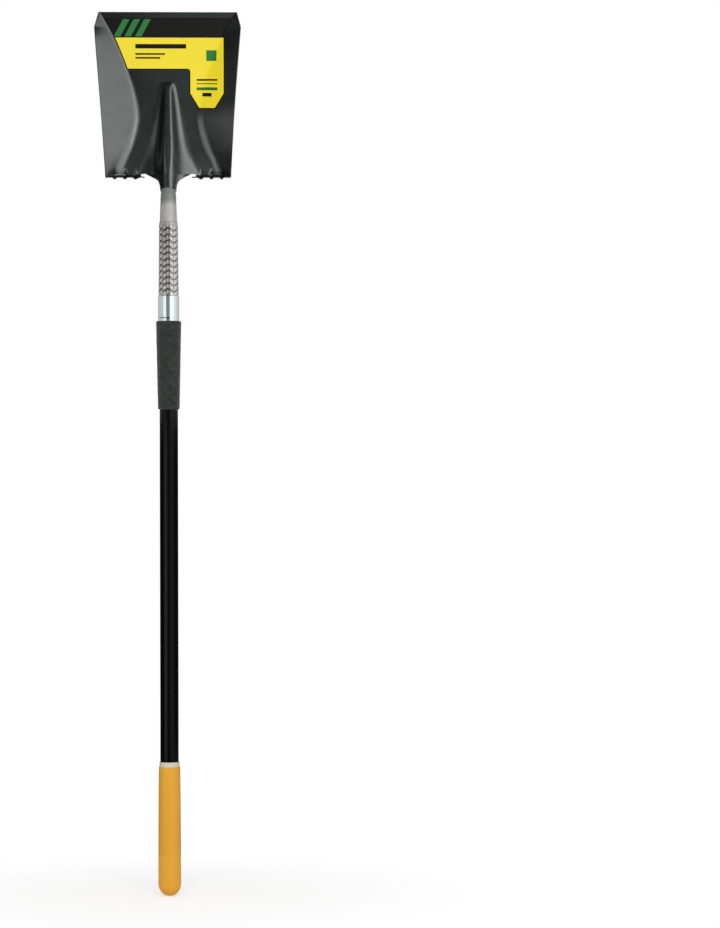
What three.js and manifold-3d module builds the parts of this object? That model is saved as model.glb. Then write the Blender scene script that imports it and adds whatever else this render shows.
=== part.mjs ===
// Square mouth shovel with a long handle, blade up, as it hangs on a rack.
// Millimetres. +Z runs up along the handle's axis to the blade, +X is to the right seen from the front,
// and the blade's hollow side faces -Y. The origin is on the handle's axis, in the plane of the two
// treads' foot faces, where the pegs of a rack hold the shovel.

import * as THREE from 'three';
import { mergeVertices } from 'three/addons/utils/BufferGeometryUtils.js';
import Module from 'manifold-3d';

const wasm = await Module();
wasm.setup();

const { clamp, degToRad, lerp, mapLinear, smoothstep } = THREE.MathUtils;

// Driving dimensions of the blade
const sheetThickness = 1.9;
const bladeLength = 279; // foot faces to mouth edge, along the floor
const mouthWidth = 234;
const widestWidth = 247;
const shoulderWidth = 212;
const sideWaist = 1.2; // how far each side is drawn in between the shoulder and the widest place
const cornerSetback = 25; // from the mouth edge back to the widest place
const bladeLift = 7; // degrees between the blade's floor and the handle's axis
const floorSetback = 12; // how far the floor lies behind the handle's axis at the foot faces
const wingHeight = 34; // at its highest, over the floor
const mouthFoldWidth = 4; // width of the soft fold between floor and wing, at the mouth
const shoulderFoldWidth = 24; // the same, at the shoulder

// The fold line between floor and wing, from the shoulder to the mouth: how far up the blade it is,
// as shares of the blade's length, and how far out, as shares of half the mouth's width
const foldLengthShares = [0, 0.08, 0.18, 0.29, 0.38, 0.52, 0.68, 0.85, 1];
const foldWidthShares = [0.76, 0.68, 0.565, 0.482, 0.452, 0.51, 0.635, 0.8, 0.99];
// How high the wing's edge is at those places, as shares of the wing's height
const rimHeightShares = [0.5, 0.66, 0.82, 0.93, 0.98, 1, 0.92, 0.62, 0];

// Driving dimensions of the frog, the hollow ridge that grows out of the neck
const frogLength = 161; // foot faces to the ridge's tip, along the floor
const frogTipWidth = 18;
const frogFootWidth = 79.6; // where it meets the shoulders
const frogCrestPower = 0.5; // below 1 the crest bows out between the neck and the tip
const frogFlarePower = 1.1; // above 1 the feet flare out near the neck

// Driving dimensions of the treads
const treadDepth = 20;
const treadBendRadius = 4; // to the middle of the sheet
const treadSpurLength = 7; // how far the front inner corner reaches past the root, towards the neck
const treadCornerCut = 2.5;
const ribSetback = 9.5; // first rib's middle from the tread's root
const ribPitch = 17.3;
const ribWidth = 9;
const ribHeight = 3;

// Driving dimensions of the neck
const reliefWidth = 6.8; // gap between a tread's root and the neck
const reliefHeight = 6.2; // top of that gap over the foot faces
const neckLength = 20.6; // foot faces down to the rim, at its sides
const neckRimArch = 3.4; // how much higher the rim is in front
const neckSeamWidth = 3; // open seam at the back
const neckFlarePower = 1.75; // above 1 the neck opens late, in a round sweep

// Driving dimensions of the steel socket sleeve
const sleeveWall = 1.2;
const spigotDiameter = 24; // the end inside the neck
const spigotLength = 20; // how far it stands over the foot faces, inside the frog
const sleeveTopDiameter = 26;
const sleeveSmoothDiameter = 29.4; // lower end of the smooth stretch
const sleevePatternDiameter = 31.6; // top of the patterned stretch
const sleeveSmoothLength = 47.7;
const sleeveStepLength = 3; // each slope between two stretches
const sleevePatternLength = 123;
const sleeveSkirtLength = 56; // straight end inside the ferrule
const beadWidth = 3.2;
const beadHeight = 1.4; // over the spigot

// Driving dimensions of the ferrule
const ferruleWall = 0.8;
const ferruleLength = 61;
const ferruleLip = 0.8; // rounded top edge
const grooveDepth = 0.3;
const grooveWidth = 3;
const grooveSetback = 23; // middle of the groove over the ferrule's lower end

// Driving dimensions of the shaft and its plugs
const shaftDiameter = 31.2;
const shaftWall = 3.6;
const shaftLength = 1000;
const shaftSetback = 4; // shaft's end below the ferrule's top
const corePlugSetback = 12; // core plug's end below the end of the spigot
const corePlugDepth = 110; // how far the core plug goes into the shaft
const endPlugDepth = 40;
const endPlugFlange = 2.5;

// Driving dimensions of the grips
const foamLength = 150;
const foamOverlap = 18; // how far the foam covers the ferrule
const foamTopWall = 3.35; // over the ferrule
const foamBottomWall = 2.6; // over the shaft
const foamCornerRadius = 2;
const ringHeight = 8.2;
const ringTuck = 6; // how far the ring reaches into the end grip
const ringWall = 1.35;
const gripLength = 219;
const gripMouthWall = 0.7;
const gripSwellWall = 3.7;
const gripEndWall = 12.5;
const gripEndHeight = 22; // of the rounded end
const gripEndPower = 2.2; // above 2 the end is squarer than an ellipse
const gripSwellPower = 0.52; // below 1 the grip swells soon after its mouth

// Driving dimensions of the rivets
const rivetDiameter = 4.8;
const rivetHeadDiameter = 9.6;
const rivetHeadHeight = 2.4;
const rivetGrip = 6; // how deep a rivet goes into the core plug
const upperRivetSetback = 24; // below the end of the spigot
const lowerRivetSetback = 21; // below the ferrule's top

// Driving dimensions of the sticker on the blade
const labelThickness = 0.3;
const labelSetback = 10; // below the mouth edge
const labelBandHeight = 33;
const labelFrogGap = 21; // between the frog's tip and the sticker's panel
const labelTabHeight = 66;
const labelTabWidth = 61;
const labelTabInset = 36; // tab's inner edge from the blade's middle
const labelChamferHeight = 26;
const labelChamferRun = 16;
const labelMargin = 2; // between the sticker's ends and the fold lines

// Clearances
const slipFit = 0.15; // on the radius, between round pieces that fit in each other
const surfaceGap = 0.25; // under a piece that lies on a curved surface

// Mesh fineness
const roundSteps = 40;
const rivetSteps = 20;
const rimSteps = 6;
const swellSteps = 6;
const mouthRows = 3;
const panelRows = 7;
const frogRows = 11;
const frogRowPower = 1.4; // above 1 the rows lie closer near the frog's tip
const frogColumns = 10;
const floorColumns = 4;
const foldColumns = 6;
const bendRows = 3;
const neckRows = 7;
const labelColumns = 10;
const labelRows = 4;
const slopeStep = 0.5; // for a surface's slope, taken between two close places

// Worked out from the driving dimensions
const halfSheet = sheetThickness / 2;
const liftAngle = degToRad(bladeLift);
const widestHeight = bladeLength - cornerSetback;
const neckRadius = spigotDiameter / 2 + slipFit + halfSheet;
const frogHeight = neckRadius / Math.cos(liftAngle) + floorSetback;
const bendStart = treadBendRadius + halfSheet;
const treadRoot = frogFootWidth / 2 + reliefWidth;
const firstRib = treadRoot + ribSetback;
const ribRoom = shoulderWidth / 2 - ribWidth / 2 - firstRib;
const ribCount = Math.max(Math.floor(ribRoom / ribPitch) + 1, 1);
const shaftRadius = shaftDiameter / 2;
const shaftBore = shaftRadius - shaftWall;
const skirtBore = shaftRadius + slipFit;
const skirtRadius = skirtBore + sleeveWall;
const ferruleBore = skirtRadius + slipFit;
const ferruleRadius = ferruleBore + ferruleWall;
const sleeveTopZ = -neckLength - beadWidth - 2 * surfaceGap; // where the spigot ends
const patternTopZ = sleeveTopZ - sleeveSmoothLength - 2 * sleeveStepLength;
const ferruleTopZ = patternTopZ - sleevePatternLength;
const ferruleBottomZ = ferruleTopZ - ferruleLength;
const foamTopZ = ferruleBottomZ + foamOverlap;
const foamBottomZ = foamTopZ - foamLength;
const shaftTopZ = ferruleTopZ - shaftSetback;
const shaftBottomZ = shaftTopZ - shaftLength;
const flangeBottomZ = shaftBottomZ - slipFit - endPlugFlange;
const gripBottomZ = flangeBottomZ - slipFit - gripEndWall;
const gripTopZ = gripBottomZ + gripLength;

// The sleeve's outside from its top end down, as height and radius
const sleeveStations = [
  [spigotLength, spigotDiameter / 2],
  [sleeveTopZ, spigotDiameter / 2],
  [sleeveTopZ - sleeveStepLength, sleeveTopDiameter / 2],
  [patternTopZ + sleeveStepLength, sleeveSmoothDiameter / 2],
  [patternTopZ, sleevePatternDiameter / 2],
  [ferruleTopZ, skirtRadius],
  [ferruleTopZ - sleeveSkirtLength, skirtRadius],
];

function sleeveRadius(z) {
  const below = Math.max(sleeveStations.findIndex(([height]) => height <= z), 1);
  const [upperZ, upperRadius] = sleeveStations[below - 1];
  const [lowerZ, lowerRadius] = sleeveStations[below];
  return mapLinear(z, lowerZ, upperZ, lowerRadius, upperRadius);
}

// Geometry with only positions, shared corners merged and no empty triangles
function welded(geometry) {
  geometry.deleteAttribute('normal');
  geometry.deleteAttribute('uv');
  const merged = mergeVertices(geometry);
  const corners = merged.index.array;
  const kept = [];
  for (let k = 0; k < corners.length; k += 3) {
    const [a, b, c] = corners.slice(k, k + 3);
    if (a !== b && b !== c && c !== a) kept.push(a, b, c);
  }
  merged.setIndex(kept);
  merged.computeVertexNormals();
  return merged;
}

// Solid of revolution about Z from [radius, height] pairs, anticlockwise round the section
function turned(profile, sides = roundSteps) {
  const points = profile.map(([radius, height]) => new THREE.Vector2(radius, height));
  const geometry = new THREE.LatheGeometry(points, sides);
  return welded(geometry.rotateX(Math.PI / 2));
}

function toSolid(geometry) {
  return new wasm.Manifold(new wasm.Mesh({
    numProp: 3,
    vertProperties: geometry.attributes.position.array,
    triVerts: Uint32Array.from(geometry.index.array),
  }));
}

function toGeometry(solid) {
  const { vertProperties, triVerts } = solid.getMesh();
  const geometry = new THREE.BufferGeometry();
  geometry.setAttribute('position', new THREE.BufferAttribute(vertProperties, 3));
  geometry.setIndex(new THREE.BufferAttribute(triVerts, 1));
  geometry.computeVertexNormals();
  return geometry;
}

// A point of the blade: x across, v up along the floor and h out of it, all from the origin
function bladePoint(x, v, h) {
  const y = -v * Math.sin(liftAngle) - h * Math.cos(liftAngle);
  const z = v * Math.cos(liftAngle) - h * Math.sin(liftAngle);
  return new THREE.Vector3(x, y, z);
}

// Smooth curve through shares along the blade, as a list of close points
function shareCurve(shares) {
  const points = shares.map((share, k) => new THREE.Vector2(foldLengthShares[k], share));
  return new THREE.SplineCurve(points).getPoints(points.length * roundSteps);
}

function shareAt(curve, v) {
  const along = clamp(v / bladeLength, 0, 1);
  const after = Math.max(curve.findIndex((point) => point.x >= along), 1);
  const [from, to] = [curve[after - 1], curve[after]];
  return mapLinear(along, from.x, to.x, from.y, to.y);
}

const foldCurve = shareCurve(foldWidthShares);
const rimCurve = shareCurve(rimHeightShares);

// How far out the fold between floor and wing is, at v up the blade
function foldOut(v) {
  return shareAt(foldCurve, v) * (mouthWidth / 2);
}

function rimHeight(v) {
  return shareAt(rimCurve, v) * wingHeight;
}

function foldHalfWidth(v) {
  return lerp(shoulderFoldWidth, mouthFoldWidth, clamp(v / bladeLength, 0, 1)) / 2;
}

function bladeHalfWidth(v) {
  if (v > widestHeight) {
    return mapLinear(v, widestHeight, bladeLength, widestWidth, mouthWidth) / 2;
  }
  const waist = sideWaist * Math.sin((Math.PI * v) / widestHeight);
  return mapLinear(v, 0, widestHeight, shoulderWidth, widestWidth) / 2 - waist;
}

function frogHalfWidth(v) {
  const share = clamp(1 - v / frogLength, 0, 1);
  return lerp(frogTipWidth, frogFootWidth, share ** frogFlarePower) / 2;
}

// Height of the sheet's middle over the floor: the frog's bell, and a wing that leaves the floor in a
// parabola as wide as the fold and goes on straight
function sheetHeight(x, v) {
  const out = Math.abs(x);
  const foot = frogHalfWidth(v);
  const crest = frogHeight * Math.max(1 - v / frogLength, 0) ** frogCrestPower;
  const bell = out < foot ? Math.cos((Math.PI * out) / foot / 2) ** 2 : 0;
  const half = foldHalfWidth(v);
  const inFold = clamp(out - foldOut(v) + half, 0, 2 * half);
  const pastFold = Math.max(out - foldOut(v) - half, 0);
  const slope = rimHeight(v) / Math.max(bladeHalfWidth(v) - foldOut(v), halfSheet);
  return crest * bell + slope * (inFold ** 2 / half / 4 + pastFold);
}

// A point on the blade's hollow side, clear of the sheet's middle by so much
function pointOver(x, v, clear) {
  const point = (across, up) => bladePoint(across, up, sheetHeight(across, up) - floorSetback);
  const across = point(x + slopeStep, v).sub(point(x - slopeStep, v));
  const along = point(x, v + slopeStep).sub(point(x, v - slopeStep));
  return point(x, v).addScaledVector(across.cross(along).normalize(), clear);
}

// Closed thin solid round a grid of middle points, with an opening where a cell is off
function sheetSolid(points, isOn, thickness) {
  const lastRow = points.length - 1;
  const lastColumn = points[0].length - 1;
  const on = (i, j) => i >= 0 && j >= 0 && i < lastRow && j < lastColumn && isOn(i, j);
  const cells = [];
  for (let i = 0; i < lastRow; i += 1) {
    for (let j = 0; j < lastColumn; j += 1) {
      if (on(i, j)) cells.push([i, j]);
    }
  }
  const normals = points.map((row) => row.map(() => new THREE.Vector3()));
  cells.forEach(([i, j]) => {
    const across = points[i + 1][j + 1].clone().sub(points[i][j]);
    const normal = points[i + 1][j].clone().sub(points[i][j + 1]).cross(across);
    [[i, j], [i + 1, j], [i, j + 1], [i + 1, j + 1]].forEach(([row, column]) => {
      normals[row][column].add(normal);
    });
  });
  const positions = [];
  const numbers = new Map();
  const corner = (i, j, side) => {
    const key = `${i} ${j} ${side}`;
    if (!numbers.has(key)) {
      numbers.set(key, numbers.size);
      const normal = normals[i][j].clone().normalize();
      positions.push(...points[i][j].clone().addScaledVector(normal, (side * thickness) / 2));
    }
    return numbers.get(key);
  };
  const faces = [];
  const quad = (a, b, c, d) => faces.push(a, b, c, a, c, d);
  cells.forEach(([i, j]) => {
    const around = [[i, j], [i, j + 1], [i + 1, j + 1], [i + 1, j]];
    const back = around.map(([row, column]) => corner(row, column, -1));
    const front = around.map(([row, column]) => corner(row, column, 1));
    quad(...back);
    quad(front[0], front[3], front[2], front[1]); // cut along the same diagonal as the back
    [[i - 1, j], [i, j + 1], [i + 1, j], [i, j - 1]].forEach((neighbour, edge) => {
      const next = (edge + 1) % 4;
      if (!on(...neighbour)) quad(back[next], back[edge], front[edge], front[next]);
    });
  });
  const geometry = new THREE.BufferGeometry();
  geometry.setAttribute('position', new THREE.Float32BufferAttribute(positions, 3));
  geometry.setIndex(faces);
  geometry.computeVertexNormals();
  return geometry;
}

// Places from one end to the other, without the last
function steps(from, to, count) {
  return Array.from({ length: count }, (_, k) => lerp(from, to, k / count));
}

// Column places across half the shoulder outside the neck: the relief gap, and the tread with its ribs
function treadColumns() {
  const places = [treadRoot - reliefWidth / 2, treadRoot];
  for (let rib = 0; rib < ribCount; rib += 1) {
    const middle = firstRib + rib * ribPitch;
    places.push(...steps(middle - ribWidth / 2, middle + ribWidth / 2, 4), middle + ribWidth / 2);
    if (rib < ribCount - 1) {
      const gap = ribPitch - ribWidth;
      places.push(middle + ribWidth / 2 + gap / 4, middle + ribPitch - ribWidth / 2 - gap / 4);
    }
  }
  const edge = shoulderWidth / 2;
  return [...places, (places[places.length - 1] + edge) / 2, edge];
}

// As many column places outside the frog where they follow the floor, the fold and the wing
function wingColumns(v, count) {
  const edge = bladeHalfWidth(v);
  const foot = frogHalfWidth(v);
  const foldStart = Math.max(foldOut(v) - foldHalfWidth(v), foot + halfSheet);
  const foldEnd = Math.min(foldOut(v) + foldHalfWidth(v), edge - halfSheet);
  const inner = steps(foot, foldStart, floorColumns).slice(1);
  const fold = steps(foldStart, foldEnd, foldColumns);
  const outer = steps(foldEnd, edge, count - inner.length - fold.length - 1);
  return [...inner, ...fold, ...outer, edge];
}

// Half a row of the blade above the shoulder
function bladeRow(v, treadPlaces, isLast) {
  const wing = wingColumns(v, treadPlaces.length);
  const frog = steps(0, frogHalfWidth(v), frogColumns);
  const settled = smoothstep(v, reliefHeight * 2, shoulderFoldWidth * 2);
  const spread = bladeHalfWidth(v) / bladeHalfWidth(0);
  const outer = treadPlaces.map((place, k) => lerp(place * spread, wing[k], settled));
  return [...frog, frogHalfWidth(v), ...outer].map((x, k) => {
    const dip = isLast ? clamp((k - frogColumns) / 2, 0, 1) ** 2 : 0;
    const up = lerp(v, bendStart, dip);
    return bladePoint(x, up, sheetHeight(x, up) - floorSetback);
  });
}

// Neck: the middle columns roll from the shoulder's section into a tube open along its back
function neckPoint(top, column, down) {
  const seamAngle = neckSeamWidth / neckRadius / 2;
  const angle = (Math.PI - seamAngle) * (column / frogColumns);
  const rise = neckRimArch * Math.max(Math.cos(angle), 0) ** 2;
  const rim = new THREE.Vector3(neckRadius * Math.sin(angle), -neckRadius * Math.cos(angle), 0);
  const point = rim.lerp(top, (1 - down) ** neckFlarePower);
  point.z = lerp(top.z, rise - neckLength, down);
  return point;
}

// Tread: the outer columns bend forward through a right angle and go on flat, with ribs pressed down
function treadPoint(top, row, isOuter) {
  const start = sheetHeight(top.x, bendStart) - floorSetback;
  if (row <= bendRows) {
    const turn = (row / bendRows) * (Math.PI / 2);
    const v = bendStart - treadBendRadius * Math.sin(turn);
    return bladePoint(top.x, v, start + treadBendRadius * (1 - Math.cos(turn)));
  }
  const out = (row - bendRows) / (neckRows - bendRows);
  const front = Math.max(treadDepth - floorSetback, start + treadBendRadius + halfSheet);
  const spur = treadSpurLength * clamp(1 - (top.x - treadRoot) / ribSetback, 0, 1) * out;
  const cut = isOuter ? treadCornerCut * out ** 2 : 0;
  const nearest = clamp(Math.round((top.x - firstRib) / ribPitch), 0, ribCount - 1);
  const off = clamp(Math.abs(top.x - firstRib - nearest * ribPitch) / (ribWidth / 2), 0, 1);
  const rib = ribHeight * Math.min(2 * out, 1) * Math.cos((off * Math.PI) / 2) ** 2;
  const h = lerp(start + treadBendRadius, front, out);
  return bladePoint(top.x - spur - cut, halfSheet - rib, h);
}

function blade() {
  const treadPlaces = treadColumns();
  const heights = [
    ...steps(bladeLength, widestHeight, mouthRows),
    ...steps(widestHeight, frogLength, panelRows),
    ...steps(0, 1, frogRows).map((t) => lerp(frogLength, reliefHeight, t ** frogRowPower)),
    reliefHeight,
  ];
  const halves = heights.map((v, row) => bladeRow(v, treadPlaces, row === heights.length - 1));
  const shoulder = halves[halves.length - 1];
  const treadStart = frogColumns + 2;
  for (let row = 1; row <= neckRows; row += 1) {
    halves.push(shoulder.map((top, column) => {
      if (column <= frogColumns) return neckPoint(top, column, row / neckRows);
      return treadPoint(top, row, column === shoulder.length - 1);
    }));
  }
  const points = halves.map((half) => {
    const mirrored = half.slice(1).reverse().map((p) => new THREE.Vector3(-p.x, p.y, p.z));
    return [...mirrored, ...half];
  });
  const middle = shoulder.length - 1;
  const isOn = (i, j) => {
    const out = j < middle ? middle - 1 - j : j - middle;
    return i < heights.length - 1 || out < frogColumns || out >= treadStart;
  };
  return sheetSolid(points, isOn, sheetThickness);
}

// Weld bead under the neck's rim: a ring that rises in front as the rim does
function weldBead() {
  const inner = spigotDiameter / 2 + surfaceGap;
  const outer = inner + beadHeight;
  const top = -neckLength - surfaceGap;
  const geometry = turned([
    [inner, top - beadWidth],
    [outer - beadHeight / 2, top - beadWidth],
    [outer, top - beadWidth / 2],
    [outer - beadHeight / 2, top],
    [inner, top],
    [inner, top - beadWidth],
  ]);
  const places = geometry.attributes.position;
  for (let k = 0; k < places.count; k += 1) {
    const forward = Math.max(-places.getY(k), 0) / Math.hypot(places.getX(k), places.getY(k));
    places.setZ(k, places.getZ(k) + neckRimArch * forward ** 2);
  }
  geometry.computeVertexNormals();
  return geometry;
}

// Radial hole at the back for a rivet, as a cutter that runs from the core plug out past the ferrule
function rivetHole(z, tipRadius) {
  const from = tipRadius - surfaceGap;
  const length = ferruleRadius + rivetHeadHeight - from;
  const radius = rivetDiameter / 2 + slipFit;
  const cutter = new THREE.CylinderGeometry(radius, radius, length, rivetSteps);
  return toSolid(welded(cutter.translate(0, from + length / 2, z)));
}

const upperRivetZ = sleeveTopZ - upperRivetSetback;
const lowerRivetZ = ferruleTopZ - lowerRivetSetback;
const upperRivetTip = sleeveRadius(upperRivetZ) - sleeveWall - slipFit - rivetGrip;
const lowerRivetTip = shaftBore - slipFit - rivetGrip;
const upperHole = rivetHole(upperRivetZ, upperRivetTip);
const lowerHole = rivetHole(lowerRivetZ, lowerRivetTip);

function drilled(geometry, ...holes) {
  return toGeometry(holes.reduce((solid, hole) => solid.subtract(hole), toSolid(geometry)));
}

// Domed rivet pointing at the handle's axis, its head at the back on a surface of the given radius
function rivet(z, tipRadius, seatRadius) {
  const shank = rivetDiameter / 2;
  const head = rivetHeadDiameter / 2;
  const seat = seatRadius + slipFit;
  const dome = steps(0, 1, rimSteps).map((t) => [
    head * Math.cos((t * Math.PI) / 2),
    seat + rivetHeadHeight * Math.sin((t * Math.PI) / 2),
  ]);
  const profile = [[0, tipRadius], [shank, tipRadius], [shank, seat], ...dome, [0, seat + rivetHeadHeight]];
  return turned(profile, rivetSteps).rotateX(-Math.PI / 2).translate(0, 0, z);
}

function socketSleeve() {
  const outside = sleeveStations.map(([z, radius]) => [radius, z]).reverse();
  const inside = sleeveStations.map(([z, radius]) => [radius - sleeveWall, z]);
  return drilled(turned([...outside, ...inside, outside[0]]), upperHole, lowerHole);
}

function corePlug() {
  const top = sleeveTopZ - corePlugSetback;
  const shoulder = shaftTopZ + slipFit;
  const fit = sleeveWall + slipFit;
  const between = sleeveStations.filter(([z]) => z < top && z > shoulder).reverse();
  const core = shaftBore - slipFit;
  const profile = [
    [0, shaftTopZ - corePlugDepth],
    [core, shaftTopZ - corePlugDepth],
    [core, shoulder],
    [sleeveRadius(shoulder) - fit, shoulder],
    ...between.map(([z, radius]) => [radius - fit, z]),
    [sleeveRadius(top) - fit, top],
    [0, top],
  ];
  return drilled(turned(profile), upperHole, lowerHole);
}

function ferrule() {
  const grooveZ = ferruleBottomZ + grooveSetback;
  const groove = [-1, -0.5, 0, 0.5, 1].map((t) => [
    ferruleRadius - grooveDepth * Math.cos((t * Math.PI) / 2) ** 2,
    grooveZ + (t * grooveWidth) / 2,
  ]);
  const lip = [0, 1, 2, 3].map((k) => [
    ferruleRadius - ferruleLip * (1 - Math.cos((k * Math.PI) / 6)),
    ferruleTopZ - ferruleLip * (1 - Math.sin((k * Math.PI) / 6)),
  ]);
  const profile = [
    [ferruleBore, ferruleBottomZ],
    [ferruleRadius, ferruleBottomZ],
    ...groove,
    ...lip.slice(0, -1),
    [ferruleBore, ferruleTopZ - ferruleLip / 4],
    [ferruleBore, ferruleBottomZ],
  ];
  return drilled(turned(profile), lowerHole);
}

function shaft() {
  const profile = [
    [shaftBore, shaftBottomZ],
    [shaftRadius, shaftBottomZ],
    [shaftRadius, shaftTopZ],
    [shaftBore, shaftTopZ],
    [shaftBore, shaftBottomZ],
  ];
  return drilled(turned(profile), lowerHole);
}

function endPlug() {
  const core = shaftBore - slipFit;
  const seat = shaftBottomZ - slipFit;
  return turned([
    [0, flangeBottomZ],
    [shaftRadius, flangeBottomZ],
    [shaftRadius, seat],
    [core, seat],
    [core, shaftBottomZ + endPlugDepth],
    [0, shaftBottomZ + endPlugDepth],
  ]);
}

function foamGrip() {
  const top = ferruleRadius + surfaceGap + foamTopWall;
  const bottom = shaftRadius + surfaceGap + foamBottomWall;
  const corner = (radius, z, from) => [0, 1, 2, 3].map((k) => {
    const angle = from + (k * Math.PI) / 6;
    return [
      radius - foamCornerRadius * (1 - Math.cos(angle)),
      z + foamCornerRadius * Math.sin(angle),
    ];
  });
  const profile = [
    [shaftRadius + surfaceGap, foamBottomZ],
    ...corner(bottom, foamBottomZ + foamCornerRadius, -Math.PI / 2),
    ...corner(top, foamTopZ - foamCornerRadius, 0),
    [ferruleRadius + surfaceGap, foamTopZ],
    [ferruleRadius + surfaceGap, ferruleBottomZ - surfaceGap],
    [shaftRadius + surfaceGap, ferruleBottomZ - surfaceGap],
    [shaftRadius + surfaceGap, foamBottomZ],
  ];
  return turned(profile);
}

function gripRing() {
  const bore = shaftRadius + slipFit;
  const profile = [
    [bore, gripTopZ - ringTuck],
    [bore + ringWall, gripTopZ - ringTuck],
    [bore + ringWall, gripTopZ + ringHeight],
    [bore, gripTopZ + ringHeight],
    [bore, gripTopZ - ringTuck],
  ];
  return turned(profile);
}

function endGrip() {
  const bore = shaftRadius + slipFit;
  const mouthBore = bore + ringWall + slipFit;
  const mouth = mouthBore + gripMouthWall;
  const swell = bore + gripSwellWall;
  const roundTop = gripBottomZ + gripEndHeight;
  const counterbore = gripTopZ - ringTuck - slipFit;
  const end = steps(0, 1, rimSteps).map((t) => {
    const out = Math.sin((t * Math.PI) / 2);
    const drop = (1 - out ** gripEndPower) ** (1 / gripEndPower);
    return [swell * out, roundTop - gripEndHeight * drop];
  });
  const side = steps(0, 1, swellSteps).map((t) => [
    lerp(mouth, swell, (1 - t) ** gripSwellPower),
    lerp(roundTop, gripTopZ - gripMouthWall / 2, t),
  ]);
  const profile = [
    ...end,
    ...side,
    [mouth, gripTopZ - gripMouthWall / 2],
    [mouth - gripMouthWall / 2, gripTopZ],
    [mouthBore, gripTopZ],
    [mouthBore, counterbore],
    [bore, counterbore],
    [bore, flangeBottomZ - slipFit],
    [0, flangeBottomZ - slipFit],
  ];
  return turned(profile);
}

// Sticker on the blade's hollow side: a band and a panel that start at one fold and run over the other
// onto the wing, and a tab under them on that side
function bladeLabel() {
  const top = bladeLength - labelSetback;
  const bandEnd = top - labelBandHeight;
  const panelEnd = frogLength + labelFrogGap;
  const tabEnd = panelEnd - labelTabHeight;
  const tabOuter = labelTabInset + labelTabWidth;
  const heights = [
    ...steps(top, bandEnd, labelRows),
    ...steps(bandEnd, panelEnd, labelRows),
    ...steps(panelEnd, tabEnd + labelChamferHeight, labelRows),
    ...steps(tabEnd + labelChamferHeight, tabEnd, 2),
    tabEnd,
  ];
  const points = heights.map((v) => {
    const run = labelChamferRun * clamp(1 - (v - tabEnd) / labelChamferHeight, 0, 1);
    const outerEnd = v > panelEnd ? Math.max(foldOut(v) + labelMargin, tabOuter) : tabOuter - run;
    const inner = steps(labelMargin - foldOut(v), labelTabInset + run, labelColumns);
    const outer = steps(labelTabInset + run, outerEnd, labelColumns);
    return [...inner, ...outer, outerEnd].map((x) => (
      pointOver(x, v, halfSheet + surfaceGap + labelThickness / 2)
    ));
  });
  const isOn = (i, j) => i < 2 * labelRows || j >= labelColumns;
  return sheetSolid(points, isOn, labelThickness);
}

const finishes = {
  blade: { color: 0x262d2b, roughness: 0.45, metalness: 0.2 },
  weld: { color: 0x6f7672, roughness: 0.6, metalness: 0.6 },
  steel: { color: 0xa8aba9, roughness: 0.4, metalness: 0.9 },
  chrome: { color: 0xd8dede, roughness: 0.15, metalness: 1 },
  fibreglass: { color: 0x0b0b0c, roughness: 0.3, metalness: 0 },
  core: { color: 0xb9a47c, roughness: 0.8, metalness: 0 },
  plug: { color: 0x1c1c1c, roughness: 0.7, metalness: 0 },
  foam: { color: 0x3d403e, roughness: 0.95, metalness: 0 },
  ring: { color: 0xd9d4bf, roughness: 0.5, metalness: 0 },
  grip: { color: 0xe9a32c, roughness: 0.55, metalness: 0 },
  rivet: { color: 0x9a9d9c, roughness: 0.35, metalness: 1 },
  label: { color: 0xf2df1d, roughness: 0.35, metalness: 0 },
};

const pieces = [
  ['blade', blade(), finishes.blade],
  ['weld_bead', weldBead(), finishes.weld],
  ['socket_sleeve', socketSleeve(), finishes.steel],
  ['ferrule', ferrule(), finishes.chrome],
  ['shaft', shaft(), finishes.fibreglass],
  ['core_plug', corePlug(), finishes.core],
  ['end_plug', endPlug(), finishes.plug],
  ['foam_grip', foamGrip(), finishes.foam],
  ['grip_ring', gripRing(), finishes.ring],
  ['end_grip', endGrip(), finishes.grip],
  ['upper_rivet', rivet(upperRivetZ, upperRivetTip, sleeveRadius(upperRivetZ)), finishes.rivet],
  ['lower_rivet', rivet(lowerRivetZ, lowerRivetTip, ferruleRadius), finishes.rivet],
  ['blade_label', bladeLabel(), finishes.label],
];

const shovel = new THREE.Group();
pieces.forEach(([name, geometry, finish]) => {
  const mesh = new THREE.Mesh(geometry, new THREE.MeshStandardMaterial(finish));
  mesh.name = name;
  shovel.add(mesh);
});

export default shovel;
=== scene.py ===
"""Looks of the square mouth shovel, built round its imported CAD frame.

Metres. +Z runs up along the handle's axis to the blade, +X is to the right seen from the blade's hollow
side, and -Y is towards the viewer. An angle round the handle counts from the viewer's side to the right.
Each sub-assembly is a class with its sizes as fields, each shape is a grid of points worked out with
numpy, and each finish is a frozen dataclass that builds one node material.
"""

import logging
import math
from dataclasses import dataclass, field
from enum import Enum

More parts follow.
